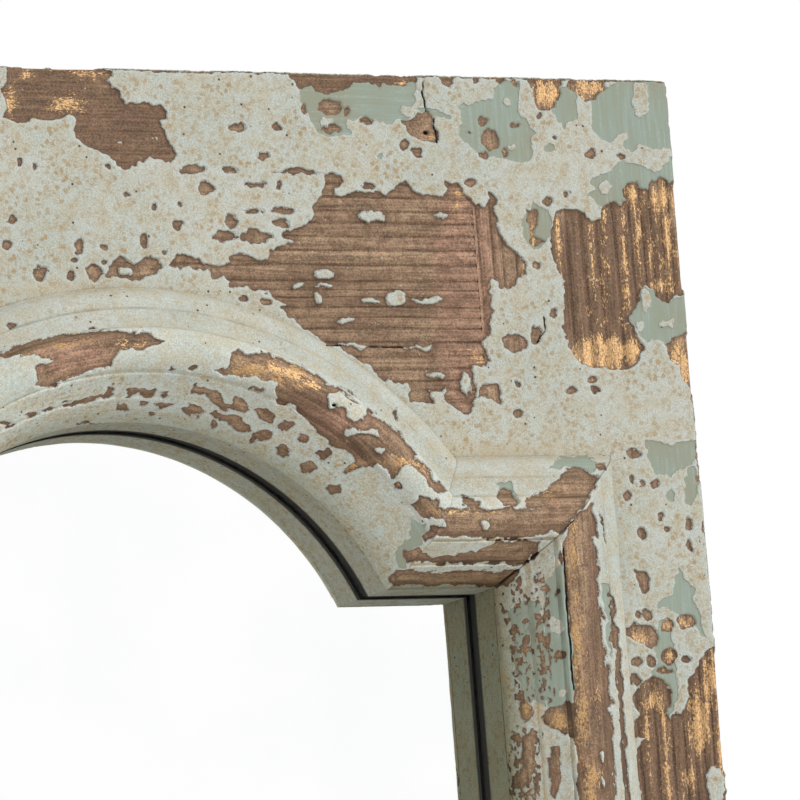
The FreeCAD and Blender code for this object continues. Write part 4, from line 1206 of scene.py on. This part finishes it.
def put(tree, kind, settings=None, **inputs):
    """A node with its settings and its inputs, which are values or other nodes' sockets."""
    item = tree.nodes.new(kind)
    for key, value in (settings or {}).items():
        setattr(item, key, value)
    for key, value in inputs.items():
        feed(tree, value, item.inputs[key])
    return item


def feed(tree, value, socket):
    if isinstance(value, bpy.types.NodeSocket):
        tree.links.new(value, socket)
    else:
        socket.default_value = value


def calc(tree, operation, *values):
    item = tree.nodes.new("ShaderNodeMath")
    item.operation = operation
    for value, socket in zip(values, item.inputs):
        feed(tree, value, socket)
    return item.outputs[0]


def ramp(tree, value, low, high, out_low=0.0, out_high=1.0):
    """A smooth rise from one level to another."""
    item = put(tree, "ShaderNodeMapRange", {"interpolation_type": "SMOOTHSTEP"}, Value=value)
    for key, level in (("From Min", low), ("From Max", high), ("To Min", out_low), ("To Max", out_high)):
        item.inputs[key].default_value = level
    return item.outputs[0]


def blend(tree, share, under, over, mode="MIX"):
    item = tree.nodes.new("ShaderNodeMix")
    item.data_type = "RGBA"
    item.blend_type = mode
    feed(tree, share, item.inputs[0])
    feed(tree, under, item.inputs[6])
    feed(tree, over, item.inputs[7])
    return item.outputs[2]


def times(tree, first, second):
    return calc(tree, "MULTIPLY", first, second)


def rest_of(tree, share):
    return calc(tree, "SUBTRACT", 1.0, share)


def shaded(tree, colour, tone):
    """A colour made lighter or darker by a grey tone."""
    grey = put(tree, "ShaderNodeCombineColor", Red=tone, Green=tone, Blue=tone).outputs[0]
    return blend(tree, 1.0, colour, grey, "MULTIPLY")


def grain_noise(tree, place, scale, detail=2.0, roughness=0.5):
    item = put(tree, "ShaderNodeTexNoise", Vector=place, Scale=scale, Detail=detail, Roughness=roughness)
    return item.outputs["Fac"]


def object_place(tree):
    return put(tree, "ShaderNodeTexCoord").outputs["Object"]


def finish_group(name, inputs, outputs):
    tree = bpy.data.node_groups.new(name, "ShaderNodeTree")
    kinds = {"value": "NodeSocketFloat", "colour": "NodeSocketColor"}
    for key, kind in inputs.items():
        tree.interface.new_socket(key, in_out="INPUT", socket_type=kinds[kind])
    for key, kind in outputs.items():
        tree.interface.new_socket(key, in_out="OUTPUT", socket_type=kinds[kind])
    return tree, tree.nodes.new("NodeGroupInput").outputs, tree.nodes.new("NodeGroupOutput").inputs


def use_group(tree, group, **inputs):
    item = tree.nodes.new("ShaderNodeGroup")
    item.node_tree = group
    for key, value in inputs.items():
        feed(tree, value, item.inputs[key])
    return item.outputs


def ragged_edge_group():
    """Turns a distance in millimetres into a crisp mask with a finely broken edge."""
    tree, given, result = finish_group(
        "ragged edge", {"Distance": "value", "Reach": "value", "Scale": "value"},
        {"Mask": "value", "Rim": "value", "Step": "value"})
    noise = put(tree, "ShaderNodeTexNoise", Vector=object_place(tree), Scale=given["Scale"], Detail=3.0)
    sway = calc(tree, "MULTIPLY_ADD", noise.outputs["Fac"], 2.0, -1.0)
    broken = calc(tree, "ADD", given["Distance"], times(tree, sway, given["Reach"]))
    feed(tree, ramp(tree, broken, -0.16, 0.16), result["Mask"])
    rim = times(tree, ramp(tree, broken, -0.15, 0.1), ramp(tree, broken, 0.25, 0.95, 1.0, 0.0))
    feed(tree, rim, result["Rim"])
    feed(tree, ramp(tree, broken, -0.75, 0.45), result["Step"])
    return tree


def chalk_paint_group():
    """Pale chalky paint: clouded, freckled with tan, crazed and pierced by pinholes."""
    tree, given, result = finish_group(
        "chalk paint", {"Freckles": "value", "Edge": "value"}, {"Color": "colour", "Height": "value"})
    place = object_place(tree)
    freckles, edge = given["Freckles"], given["Edge"]
    cloud = ramp(tree, grain_noise(tree, place, 16.0, 3.0), 0.36, 0.64)
    haze = ramp(tree, grain_noise(tree, place, 70.0, 3.0), 0.35, 0.68)
    colour = blend(tree, cloud, PALE_PAINT, COOL_PAINT)
    colour = blend(tree, times(tree, haze, 0.55), colour, WARM_PAINT)
    stain = ramp(tree, grain_noise(tree, place, 105.0, 4.0, 0.6), 0.52, 0.72, 0.0, 0.26)
    colour = blend(tree, times(tree, stain, freckles), colour, STAIN)
    # freckles: round ones of all sizes among fine specks, crowded here and sparse there
    jitter = put(tree, "ShaderNodeTexNoise", Vector=place, Scale=420.0, Detail=2.0).outputs["Color"]
    strayed = put(tree, "ShaderNodeVectorMath", {"operation": "MULTIPLY_ADD"})
    feed(tree, jitter, strayed.inputs[0])
    strayed.inputs[1].default_value = (4 * MM, 4 * MM, 4 * MM)
    feed(tree, place, strayed.inputs[2])
    dots = put(tree, "ShaderNodeTexVoronoi", Vector=strayed.outputs[0], Scale=230.0, Randomness=1.0)
    size = put(tree, "ShaderNodeSeparateColor", Color=dots.outputs["Color"])
    span = calc(tree, "MULTIPLY_ADD", size.outputs[1], 0.30, 0.14)
    spot = ramp(tree, calc(tree, "SUBTRACT", span, dots.outputs["Distance"]), -0.06, 0.10)
    speck = grain_noise(tree, place, 620.0, 2.0)
    fleck = times(tree, ramp(tree, speck, 0.54, 0.66), 0.65)
    crowd = ramp(tree, grain_noise(tree, place, 32.0, 2.0), 0.38, 0.66)
    freckle = times(tree, calc(tree, "MAXIMUM", spot, fleck), freckles)
    freckle = times(tree, freckle, calc(tree, "MULTIPLY_ADD", crowd, 0.65, 0.35))
    freckle = times(tree, freckle, rest_of(tree, times(tree, edge, 0.8)))
    colour = blend(tree, ramp(tree, speck, 0.36, 0.46, 0.55, 0.0), colour, PALE_SPECK_AND_RIM_HIGHLIGHT)
    colour = blend(tree, freckle, colour, blend(tree, size.outputs[0], FRECKLE_TAN, FRECKLE_OCHRE))
    # painted highlight along the rims of worn patches
    colour = blend(tree, times(tree, edge, 0.6), colour, PALE_SPECK_AND_RIM_HIGHLIGHT)
    flake = put(tree, "ShaderNodeTexVoronoi", {"feature": "DISTANCE_TO_EDGE"}, Vector=strayed.outputs[0],
                Scale=260.0)
    crazed = times(tree, ramp(tree, flake.outputs["Distance"], 0.02, 0.12, 1.0, 0.0),
                   ramp(tree, grain_noise(tree, place, 140.0, 2.0), 0.46, 0.62, 0.0, 0.55))
    colour = blend(tree, times(tree, crazed, freckles), colour, FRECKLE_TAN)
    cells = put(tree, "ShaderNodeTexVoronoi", Vector=place, Scale=115.0, Randomness=1.0)
    lot = put(tree, "ShaderNodeSeparateColor", Color=cells.outputs["Color"]).outputs[0]
    pit = times(tree, ramp(tree, cells.outputs["Distance"], 0.06, 0.115, 1.0, 0.0),
                ramp(tree, lot, 0.35, 0.4))
    # the pinholes' dark colour is painted shade in the pits
    colour = blend(tree, times(tree, pit, 0.9), colour, PINHOLE_SHADE)
    tooth = grain_noise(tree, place, 1100.0, 3.0, 0.6)
    feed(tree, shaded(tree, colour, ramp(tree, tooth, 0.3, 0.7, 0.80, 1.13)), result["Color"])
    height = calc(tree, "MULTIPLY_ADD", tooth, 0.16, times(tree, pit, -0.8))
    height = calc(tree, "MULTIPLY_ADD", grain_noise(tree, place, 180.0, 3.0), 0.34, height)
    height = calc(tree, "MULTIPLY_ADD", crazed, -0.12, height)
    feed(tree, height, result["Height"])
    return tree


def wood_grain_group():
    """Sawn wood with fibres along the piece."""
    tree, given, result = finish_group(
        "wood grain", {"Along": "value", "Across": "value"},
        {"Fibre": "value", "Band": "value", "Streak": "value", "Height": "value"})
    across = given["Across"]
    stretched = put(tree, "ShaderNodeCombineXYZ", X=times(tree, given["Along"], 0.06), Y=across,
                    Z=times(tree, across, 0.37)).outputs[0]
    fibre = grain_noise(tree, stretched, 0.55, 3.0, 0.55)
    band = grain_noise(tree, stretched, 0.16, 3.0, 0.55)
    fuzz = grain_noise(tree, object_place(tree), 820.0, 3.0, 0.75)
    feed(tree, calc(tree, "MULTIPLY_ADD", fuzz, 0.6, times(tree, fibre, 0.4)), result["Fibre"])
    feed(tree, band, result["Band"])
    feed(tree, fibre, result["Streak"])
    feed(tree, calc(tree, "MULTIPLY_ADD", fuzz, 0.25, times(tree, fibre, 0.30)), result["Height"])
    return tree


def combed_wood_group(grain):
    """Bare brown wood with the dark lines of a comb drawn along it."""
    names = ("Along", "Across", "Comb", "Ribs", "Warmth", "Umber")
    tree, given, result = finish_group(
        "combed wood", {name: "value" for name in names},
        {"Color": "colour", "Height": "value", "Ridge": "value"})
    place = object_place(tree)
    wood = use_group(tree, grain, Along=given["Along"], Across=given["Across"])
    colour = blend(tree, ramp(tree, wood["Band"], 0.3, 0.7), WOOD_BROWN, WOOD_DARK)
    colour = blend(tree, 0.48, colour, WOOD_BROWN)
    colour = blend(tree, times(tree, given["Warmth"], 0.75), colour, WOOD_WARM)
    blotch = ramp(tree, grain_noise(tree, place, 120.0, 3.0, 0.6), 0.42, 0.68, 0.0, 0.55)
    colour = blend(tree, blotch, colour, WOOD_DARK)
    glow = ramp(tree, grain_noise(tree, place, 75.0, 3.0, 0.6), 0.55, 0.72, 0.0, 0.6)
    colour = blend(tree, glow, colour, WOOD_WARM)
    colour = blend(tree, times(tree, given["Umber"], 0.72), colour, WOOD_DARK)
    colour = shaded(tree, colour, ramp(tree, wood["Fibre"], 0.36, 0.64, 0.5, 1.52))
    # whole numbers of the comb are grooves, and halves are ridges
    shifted = calc(tree, "FRACT", calc(tree, "ADD", given["Comb"], 0.5))
    phase = calc(tree, "ABSOLUTE", calc(tree, "SUBTRACT", shifted, 0.5))
    groove = times(tree, ramp(tree, phase, 0.03, 0.14, 1.0, 0.0), given["Ribs"])
    groove = times(tree, groove, ramp(tree, wood["Fibre"], 0.38, 0.56, 1.0, 0.55))
    step_tone = put(tree, "ShaderNodeTexWhiteNoise", {"noise_dimensions": "1D"},
                    W=calc(tree, "FLOOR", given["Comb"])).outputs["Value"]
    shade = times(tree, times(tree, step_tone, 0.24), given["Ribs"])
    colour = blend(tree, shade, colour, WOOD_DARK)
    colour = blend(tree, times(tree, groove, 0.64), colour, COMB_SHADE)
    feed(tree, colour, result["Color"])
    feed(tree, calc(tree, "MULTIPLY_ADD", groove, -0.5, wood["Height"]), result["Height"])
    feed(tree, times(tree, ramp(tree, phase, 0.34, 0.5), given["Ribs"]), result["Ridge"])
    return tree


def gold_rub_group():
    """Flecks of rubbed gold that gather on ridges and at the ends of a worn patch."""
    names = ("Distance", "Along", "Across", "Ridge")
    tree, given, result = finish_group(
        "gold rub", {name: "value" for name in names}, {"Mask": "value", "Color": "colour"})
    stretched = put(tree, "ShaderNodeCombineXYZ", X=times(tree, given["Along"], 0.5), Y=given["Across"],
                    Z=0.0).outputs[0]
    fleck = grain_noise(tree, stretched, 0.85, 4.0, 0.75)
    leaf = grain_noise(tree, stretched, 0.2, 2.0)
    depth = calc(tree, "MINIMUM", given["Distance"], 6.0)
    reach = calc(tree, "MULTIPLY_ADD", calc(tree, "SUBTRACT", fleck, 0.5), 34.0, depth)
    reach = calc(tree, "MULTIPLY_ADD", calc(tree, "SUBTRACT", leaf, 0.5), 16.0, reach)
    reach = calc(tree, "MULTIPLY_ADD", given["Ridge"], 3.0, reach)
    feed(tree, ramp(tree, reach, 2.6, 4.8), result["Mask"])
    shine = ramp(tree, grain_noise(tree, stretched, 1.1, 3.0, 0.7), 0.36, 0.62)
    feed(tree, blend(tree, shine, GOLD_DEEP, GOLD_BRIGHT), result["Color"])
    return tree


RAGGED_EDGE = ragged_edge_group()
CHALK_PAINT = chalk_paint_group()
WOOD_GRAIN = wood_grain_group()
COMBED_WOOD = combed_wood_group(WOOD_GRAIN)
GOLD_RUB = gold_rub_group()


def wear_value(tree, name):
    return put(tree, "ShaderNodeAttribute", {"attribute_name": name}).outputs["Fac"]


def new_finish(name):
    material = bpy.data.materials.new(name)
    material.use_nodes = True
    tree = material.node_tree
    return material, tree, tree.nodes["Principled BSDF"]


def undercoat_colour(tree, value, place):
    """Brushed teal undercoat, dulled and rubbed along the piece."""
    brush = use_group(tree, WOOD_GRAIN, Along=value["along"], Across=value["across"])
    dull = ramp(tree, grain_noise(tree, place, 19.0, 3.0), 0.42, 0.68)
    colour = blend(tree, dull, UNDERCOAT_TEAL, UNDERCOAT_DULL)
    colour = blend(tree, ramp(tree, brush["Streak"], 0.46, 0.64, 0.0, 0.55), colour, UNDERCOAT_DULL)
    colour = blend(tree, ramp(tree, brush["Streak"], 0.36, 0.46, 0.16, 0.0), colour, UNDERCOAT_PALE)
    colour = blend(tree, ramp(tree, brush["Fibre"], 0.56, 0.68, 0.0, 0.4), colour, FRECKLE_TAN)
    return blend(tree, ramp(tree, brush["Fibre"], 0.34, 0.46, 0.3, 0.0), colour, PALE_SPECK_AND_RIM_HIGHLIGHT)


def worn_wood(tree, value, place):
    """Bare wood and its colour with gold and crumbs of paint left on it."""
    wood = use_group(tree, COMBED_WOOD, Along=value["along"], Across=value["across"], Comb=value["comb"],
                     Ribs=ramp(tree, value["ribbed"], -1.0, 1.2), Warmth=ramp(tree, value["warm"], -5.0, 5.0),
                     Umber=ramp(tree, value["umber"], -5.0, 5.0))
    gold = use_group(tree, GOLD_RUB, Distance=value["gold"], Along=value["along"], Across=value["across"],
                     Ridge=wood["Ridge"])
    # bare wood darker near the edge of a worn patch and in small spots: painted shade in the recess under the
    # paint's edge
    shallow = ramp(tree, value["bare"], 0.4, 3.2, 0.55, 0.0)
    colour = blend(tree, gold["Mask"], blend(tree, shallow, wood["Color"], WOOD_DARK), gold["Color"])
    crumbs = times(tree, ramp(tree, grain_noise(tree, place, 300.0, 3.0, 0.6), 0.69, 0.75), 0.8)
    return wood, gold, blend(tree, crumbs, colour, PALE_PAINT)


def painted_shade_and_dirt(tree, colour, value, patch, bare):
    """Darkens the rims of worn patches and the moulding's grooves: painted shadow with dirt at the rims,
    painted shade on bare wood beside the grooves, painted shadow lines in them, and painted shade with dirt
    in the painted grooves.
    """
    # painted shadow with dirt along the rim of a worn patch
    rim = times(tree, bare["Rim"], ramp(tree, patch, 0.4, 0.65, 0.0, 0.25))
    colour = blend(tree, rim, colour, COMB_SHADE)
    uneven = times(tree, bare["Mask"], ramp(tree, patch, 0.36, 0.6, 1.0, 0.3))
    # painted shade on bare wood beside a groove, such as the bead's lower side
    hollow = times(tree, ramp(tree, value["groove"], 0.3, 5.0, 0.55, 0.0), uneven)
    colour = blend(tree, hollow, colour, WOOD_DARK)
    # a painted shadow line in the grooves of bare wood
    line = times(tree, ramp(tree, value["groove"], 0.1, 1.1, 0.8, 0.0), uneven)
    colour = blend(tree, line, colour, COMB_SHADE)
    # painted shade with dirt in the grooves
    groove_shade_and_dirt = times(tree, ramp(tree, value["groove"], 0.0, 1.5, 1.0, 0.0),
                 ramp(tree, patch, 0.3, 0.6, 0.42, 0.05))
    return blend(tree, groove_shade_and_dirt, colour, CREVICE_SHADE_AND_DIRT)


def sawn_back(tree, colour, value):
    """Leaves the back of a board as it was sawn."""
    raw = use_group(tree, RAGGED_EDGE, Distance=value["raw"], Reach=1.2, Scale=160.0)
    plank = use_group(tree, WOOD_GRAIN, Along=times(tree, value["along"], 0.2),
                      Across=times(tree, value["across"], 1.5))
    sawn = blend(tree, ramp(tree, plank["Band"], 0.3, 0.74), RAW_PINE, RAW_DARK)
    sawn = blend(tree, ramp(tree, plank["Streak"], 0.5, 0.66, 0.0, 0.45), sawn, RAW_DARK)
    sawn = shaded(tree, sawn, ramp(tree, plank["Fibre"], 0.3, 0.7, 0.78, 1.16))
    return blend(tree, raw["Mask"], colour, sawn)


def edge_of_opening(tree, colour, value, place, patch, bare):
    """Painted shade with grime deep in the opening, a strip of painted shade at its edge by the glass,
    painted light on the moulding's inner bands, and the joint behind the moulding.
    """
    depth = put(tree, "ShaderNodeSeparateXYZ", Vector=place).outputs["Y"]
    # painted light dodged over the moulding's inner bands and bead, on paint and on bare wood
    bare_painted_light = times(tree, ramp(tree, value["painted_light"], 0.6, 1.0), bare["Mask"])
    painted_light = calc(tree, "MULTIPLY_ADD", value["painted_light"], rest_of(tree, bare["Mask"]), bare_painted_light)
    colour = blend(tree, times(tree, painted_light, 0.25), colour, PAINTED_LIGHT_TINT, "DODGE")
    # painted shade, with grime, deep in the opening
    colour = blend(tree, value["recess_shade_and_grime"], colour, RECESS_SHADE_AND_GRIME_TINT, "MULTIPLY")
    # a strip of painted shade on the inner face by the glass
    shaded_strip = times(tree, ramp(tree, value["recess_shade_and_grime"], 0.1, 0.5), ramp(tree, depth, *SHADED_STRIP_DEPTH))
    colour = blend(tree, shaded_strip, colour, EDGE_SHADE_AND_JOINT_DARK)
    off_joint = calc(tree, "ABSOLUTE", calc(tree, "SUBTRACT", depth, front + leg_depth))
    joint = times(tree, ramp(tree, off_joint, 0.2 * MM, 0.8 * MM, 0.75, 0.0),
                  ramp(tree, value["recess_shade_and_grime"], 0.56, 0.98))
    return blend(tree, times(tree, joint, ramp(tree, patch, 0.38, 0.55, 0.25, 1.0)), colour, EDGE_SHADE_AND_JOINT_DARK)


def worn_paint(name):
    """Layered paint, worn through to an undercoat, to brown wood and to gold."""
    material, tree, surface = new_finish(name)
    place = object_place(tree)
    value = {key: wear_value(tree, key) for key in WEAR_NAMES}
    patch = grain_noise(tree, place, 60.0, 3.0)
    bare = use_group(tree, RAGGED_EDGE, Distance=value["bare"], Reach=0.55, Scale=700.0)
    thin = use_group(tree, RAGGED_EDGE, Distance=value["undercoat"], Reach=0.6, Scale=500.0)
    # painted highlight: paint made lighter along the rims of worn patches and undercoat
    painted_rim_highlight = calc(tree, "MAXIMUM", ramp(tree, value["bare"], -3.2, -0.3),
                ramp(tree, value["undercoat"], -2.4, -0.2, 0.0, 0.6))
    paint = use_group(tree, CHALK_PAINT, Freckles=value["freckled"], Edge=painted_rim_highlight)
    crevice = times(tree, ramp(tree, value["groove"], 0.0, 2.2, 1.0, 0.0),
                    ramp(tree, patch, 0.45, 0.7, 0.05, 0.5))
    glaze = calc(tree, "MAXIMUM", crevice, ramp(tree, value["glaze"], -4.0, 4.0, 0.0, 0.2))
    colour = blend(tree, glaze, paint["Color"], GLAZE_OCHRE)
    colour = blend(tree, thin["Mask"], colour, undercoat_colour(tree, value, place))
    wood, gold, worn = worn_wood(tree, value, place)
    colour = blend(tree, bare["Mask"], colour, worn)
    colour = painted_shade_and_dirt(tree, colour, value, patch, bare)
    colour = sawn_back(tree, colour, value)
    colour = edge_of_opening(tree, colour, value, place, patch, bare)
    gap = calc(tree, "MAXIMUM", ramp(tree, value["crack"], 0.0, 0.35), ramp(tree, value["hole"], 0.0, 0.5))
    feed(tree, blend(tree, gap, colour, CRACK_BLACK), surface.inputs["Base Color"])
    golden = times(tree, gold["Mask"], bare["Mask"])
    roughness = ramp(tree, bare["Mask"], 0.0, 1.0, 0.86, 0.68)
    feed(tree, calc(tree, "MULTIPLY_ADD", golden, -0.24, roughness), surface.inputs["Roughness"])
    feed(tree, times(tree, golden, 0.4), surface.inputs["Metallic"])
    # relief: the steps between the layers, and each layer's own surface
    height = times(tree, rest_of(tree, bare["Step"]), calc(tree, "MULTIPLY_ADD", thin["Step"], -0.6, 1.3))
    top_coat = times(tree, rest_of(tree, bare["Mask"]), rest_of(tree, thin["Mask"]))
    height = calc(tree, "MULTIPLY_ADD", top_coat, paint["Height"], height)
    height = calc(tree, "MULTIPLY_ADD", bare["Mask"], wood["Height"], height)
    height = calc(tree, "MULTIPLY_ADD", gap, -1.0, height)
    bump = put(tree, "ShaderNodeBump", Height=height, Strength=0.8, Distance=MM)
    feed(tree, bump.outputs[0], surface.inputs["Normal"])
    surface.inputs["Specular IOR Level"].default_value = 0.25
    return material


painted_board = worn_paint("worn paint on boards")
painted_moulding = worn_paint("worn paint on moulding")


def simple_finish(name, dark, light, scale, roughness, metallic=0.0, bump=0.05, detail=4.0):
    """A plain material with a mottled tone and a fine surface."""
    material, tree, surface = new_finish(name)
    place = object_place(tree)
    mottle = ramp(tree, grain_noise(tree, place, scale, detail, 0.6), 0.3, 0.7)
    feed(tree, blend(tree, mottle, dark, light), surface.inputs["Base Color"])
    gloss = grain_noise(tree, place, scale * 2.3, detail)
    feed(tree, ramp(tree, gloss, 0.3, 0.7, roughness - 0.08, roughness + 0.08), surface.inputs["Roughness"])
    surface.inputs["Metallic"].default_value = metallic
    fine = grain_noise(tree, place, scale * 3.1, detail, 0.65)
    surface_bump = put(tree, "ShaderNodeBump", Height=fine, Strength=0.5, Distance=bump * MM)
    feed(tree, surface_bump.outputs[0], surface.inputs["Normal"])
    return material


def hardboard():
    """Pressed fibre board: clouded, speckled with fibres and rubbed pale in streaks."""
    material, tree, surface = new_finish("hardboard")
    place = object_place(tree)
    cloud = ramp(tree, grain_noise(tree, place, 7.0, 4.0, 0.6), 0.32, 0.68)
    colour = blend(tree, cloud, srgb(99, 71, 48), srgb(112, 81, 55))
    fibre = grain_noise(tree, place, 800.0, 3.0, 0.7)
    colour = blend(tree, ramp(tree, fibre, 0.54, 0.68, 0.0, 0.6), colour, srgb(60, 41, 28))
    colour = blend(tree, ramp(tree, fibre, 0.32, 0.44, 0.5, 0.0), colour, srgb(142, 108, 76))
    drawn = put(tree, "ShaderNodeVectorMath", {"operation": "MULTIPLY"})
    feed(tree, place, drawn.inputs[0])
    drawn.inputs[1].default_value = (230.0, 230.0, 8.0)
    scuff = ramp(tree, grain_noise(tree, drawn.outputs[0], 1.0, 4.0, 0.6), 0.6, 0.74, 0.0, 0.4)
    colour = blend(tree, times(tree, scuff, cloud), colour, srgb(156, 130, 102))
    feed(tree, colour, surface.inputs["Base Color"])
    feed(tree, ramp(tree, scuff, 0.0, 0.4, 0.62, 0.78), surface.inputs["Roughness"])
    height = calc(tree, "MULTIPLY_ADD", scuff, -0.6, fibre)
    feed(tree, put(tree, "ShaderNodeBump", Height=height, Strength=0.5, Distance=0.25 * MM).outputs[0],
         surface.inputs["Normal"])
    return material


def silvered_glass():
    """A mirror with a faint smear over it."""
    material, tree, surface = new_finish("silvered glass")
    place = object_place(tree)
    smear = ramp(tree, grain_noise(tree, place, 9.0, 4.0), 0.35, 0.75)
    silver = blend(tree, smear, CLEAN_SILVER, SMEARED_SILVER)
    feed(tree, silver, surface.inputs["Base Color"])
    feed(tree, ramp(tree, smear, 0.0, 1.0, 0.012, 0.03), surface.inputs["Roughness"])
    surface.inputs["Metallic"].default_value = 1.0
    return material


def give(node, material):
    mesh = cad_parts[node].data
    mesh.materials.clear()
    mesh.materials.append(material)


zinc = simple_finish("zinc plate", srgb(150, 146, 132), srgb(196, 194, 184), 160.0, 0.36, 1.0, 0.02)
give("mirror_glass", silvered_glass())
give("glazing_tapes", simple_finish("black foam", srgb(14, 14, 14), srgb(30, 30, 29), 900.0, 0.9, 0.0, 0.2))
give("setting_blocks", simple_finish("block rubber", srgb(18, 18, 18), srgb(34, 34, 33), 300.0, 0.75))
give("backing_board", hardboard())
give("moulding_brads", simple_finish("brad wire", srgb(96, 92, 88), srgb(126, 122, 116), 300.0, 0.5, 1.0))
give("corner_dowels", simple_finish("dowel wood", srgb(168, 128, 86), srgb(196, 158, 112), 120.0, 0.7))
give("floor_pads", simple_finish("brown felt", srgb(44, 36, 29), srgb(70, 58, 46), 700.0, 0.95, 0.0, 0.5))
bumper_rubber = simple_finish("bumper rubber", srgb(24, 23, 21), srgb(40, 38, 36), 260.0, 0.7)
give("wall_bumpers", bumper_rubber)
SCREW_NODES = ("backing_screws", "hanger_screws")
for zinc_node in SCREW_NODES + ("left_hanger_strap", "right_hanger_strap", "left_d_ring", "right_d_ring"):
    give(zinc_node, zinc)
SCREW_RADIUS, SCREW_HEIGHT = 4 * MM, 2.4 * MM
BUMPER_RADIUS, BUMPER_HEIGHT = 12 * MM, 10 * MM
for screw_node in SCREW_NODES:
    turned_heads(f"{screw_node}_heads", screw_node, SCREW_RADIUS, SCREW_HEIGHT, SCREW_HEAD, cross_slot, zinc)
turned_heads("wall_bumper_domes", "wall_bumpers", BUMPER_RADIUS, BUMPER_HEIGHT, BUMPER_HEAD, no_slot,
             bumper_rubber)

for way in (1, -1):
    stile_board(way, painted_board)
    stile_moulding(way, painted_moulding)
    shoulder_moulding(way, painted_moulding)
head_board(painted_board)
bottom_rail(painted_board)
arch_moulding(painted_moulding)
bottom_moulding(painted_moulding)


# Camera, light and ground
def aim(item, place, target):
    item.location = place
    item.rotation_euler = (Vector(target) - Vector(place)).to_track_quat("-Z", "Y").to_euler()


camera_data = bpy.data.cameras.new("camera")
camera_data.sensor_width = SENSOR_WIDTH
camera_data.lens = FOCAL_PIXELS / PICTURE_PIXELS * SENSOR_WIDTH
camera_data.clip_start = 0.05
camera_data.clip_end = 100
camera = bpy.data.objects.new("camera", camera_data)
bpy.context.scene.collection.objects.link(camera)
turn = Matrix((picture_right, picture_up, -look)).transposed().to_4x4()
camera.matrix_world = Matrix.Translation(CAMERA_PLACE) @ turn
bpy.context.scene.camera = camera


def sun(name, toward_light, strength, spread):
    data = bpy.data.lights.new(name, "SUN")
    data.energy = strength
    data.angle = math.radians(spread)
    item = bpy.data.objects.new(name, data)
    bpy.context.scene.collection.objects.link(item)
    aim(item, Vector(toward_light) * 4, (0, 0, 0))


sun("key light", (0.58, -0.66, 0.38), 1.7, 12)
sun("front fill", (-0.55, -0.75, -0.2), 0.75, 40)
sun("back fill", (-0.5, 0.8, 0.5), 1.2, 30)


def seen_share(tree):
    """1 for what the eye sees, straight on or in metal and glass; 0 for light on its way to a surface."""
    path = put(tree, "ShaderNodeLightPath").outputs
    return calc(tree, "MAXIMUM", path["Is Camera Ray"],
                calc(tree, "MAXIMUM", path["Is Glossy Ray"], path["Is Transmission Ray"]))


FLOOR_DARK, FLOOR_LIGHT, FLOOR_BOUNCE = (0.82, 0.82, 0.81, 1), (0.84, 0.84, 0.83, 1), (0.62, 0.62, 0.62, 1)
ground_mesh = bpy.data.meshes.new("ground")
reach = 14
ground_corners = [(-reach, -reach, 0), (reach, -reach, 0), (reach, reach, 0), (-reach, reach, 0)]
ground_mesh.from_pydata(ground_corners, [], [(0, 1, 2, 3)])
ground = bpy.data.objects.new("ground", ground_mesh)
bpy.context.scene.collection.objects.link(ground)
ground_finish, ground_tree, ground_surface = new_finish("pale floor")
floor_tone = ramp(ground_tree, grain_noise(ground_tree, object_place(ground_tree), 3.0, 3.0), 0.2, 0.8)
floor_colour = blend(ground_tree, floor_tone, FLOOR_DARK, FLOOR_LIGHT)
floor_colour = blend(ground_tree, seen_share(ground_tree), FLOOR_BOUNCE, floor_colour)
feed(ground_tree, floor_colour, ground_surface.inputs["Base Color"])
ground_surface.inputs["Roughness"].default_value = 0.9
ground_mesh.materials.append(ground_finish)

world = bpy.data.worlds.new("studio")
bpy.context.scene.world = world
world.use_nodes = True
sky = world.node_tree
backdrop = sky.nodes["Background"]
AMBIENT = 0.56
feed(sky, blend(sky, seen_share(sky), (AMBIENT, AMBIENT, AMBIENT, 1), (1, 1, 1, 1)), backdrop.inputs["Color"])
backdrop.inputs["Strength"].default_value = 1.0

bpy.context.scene.view_settings.view_transform = "Standard"
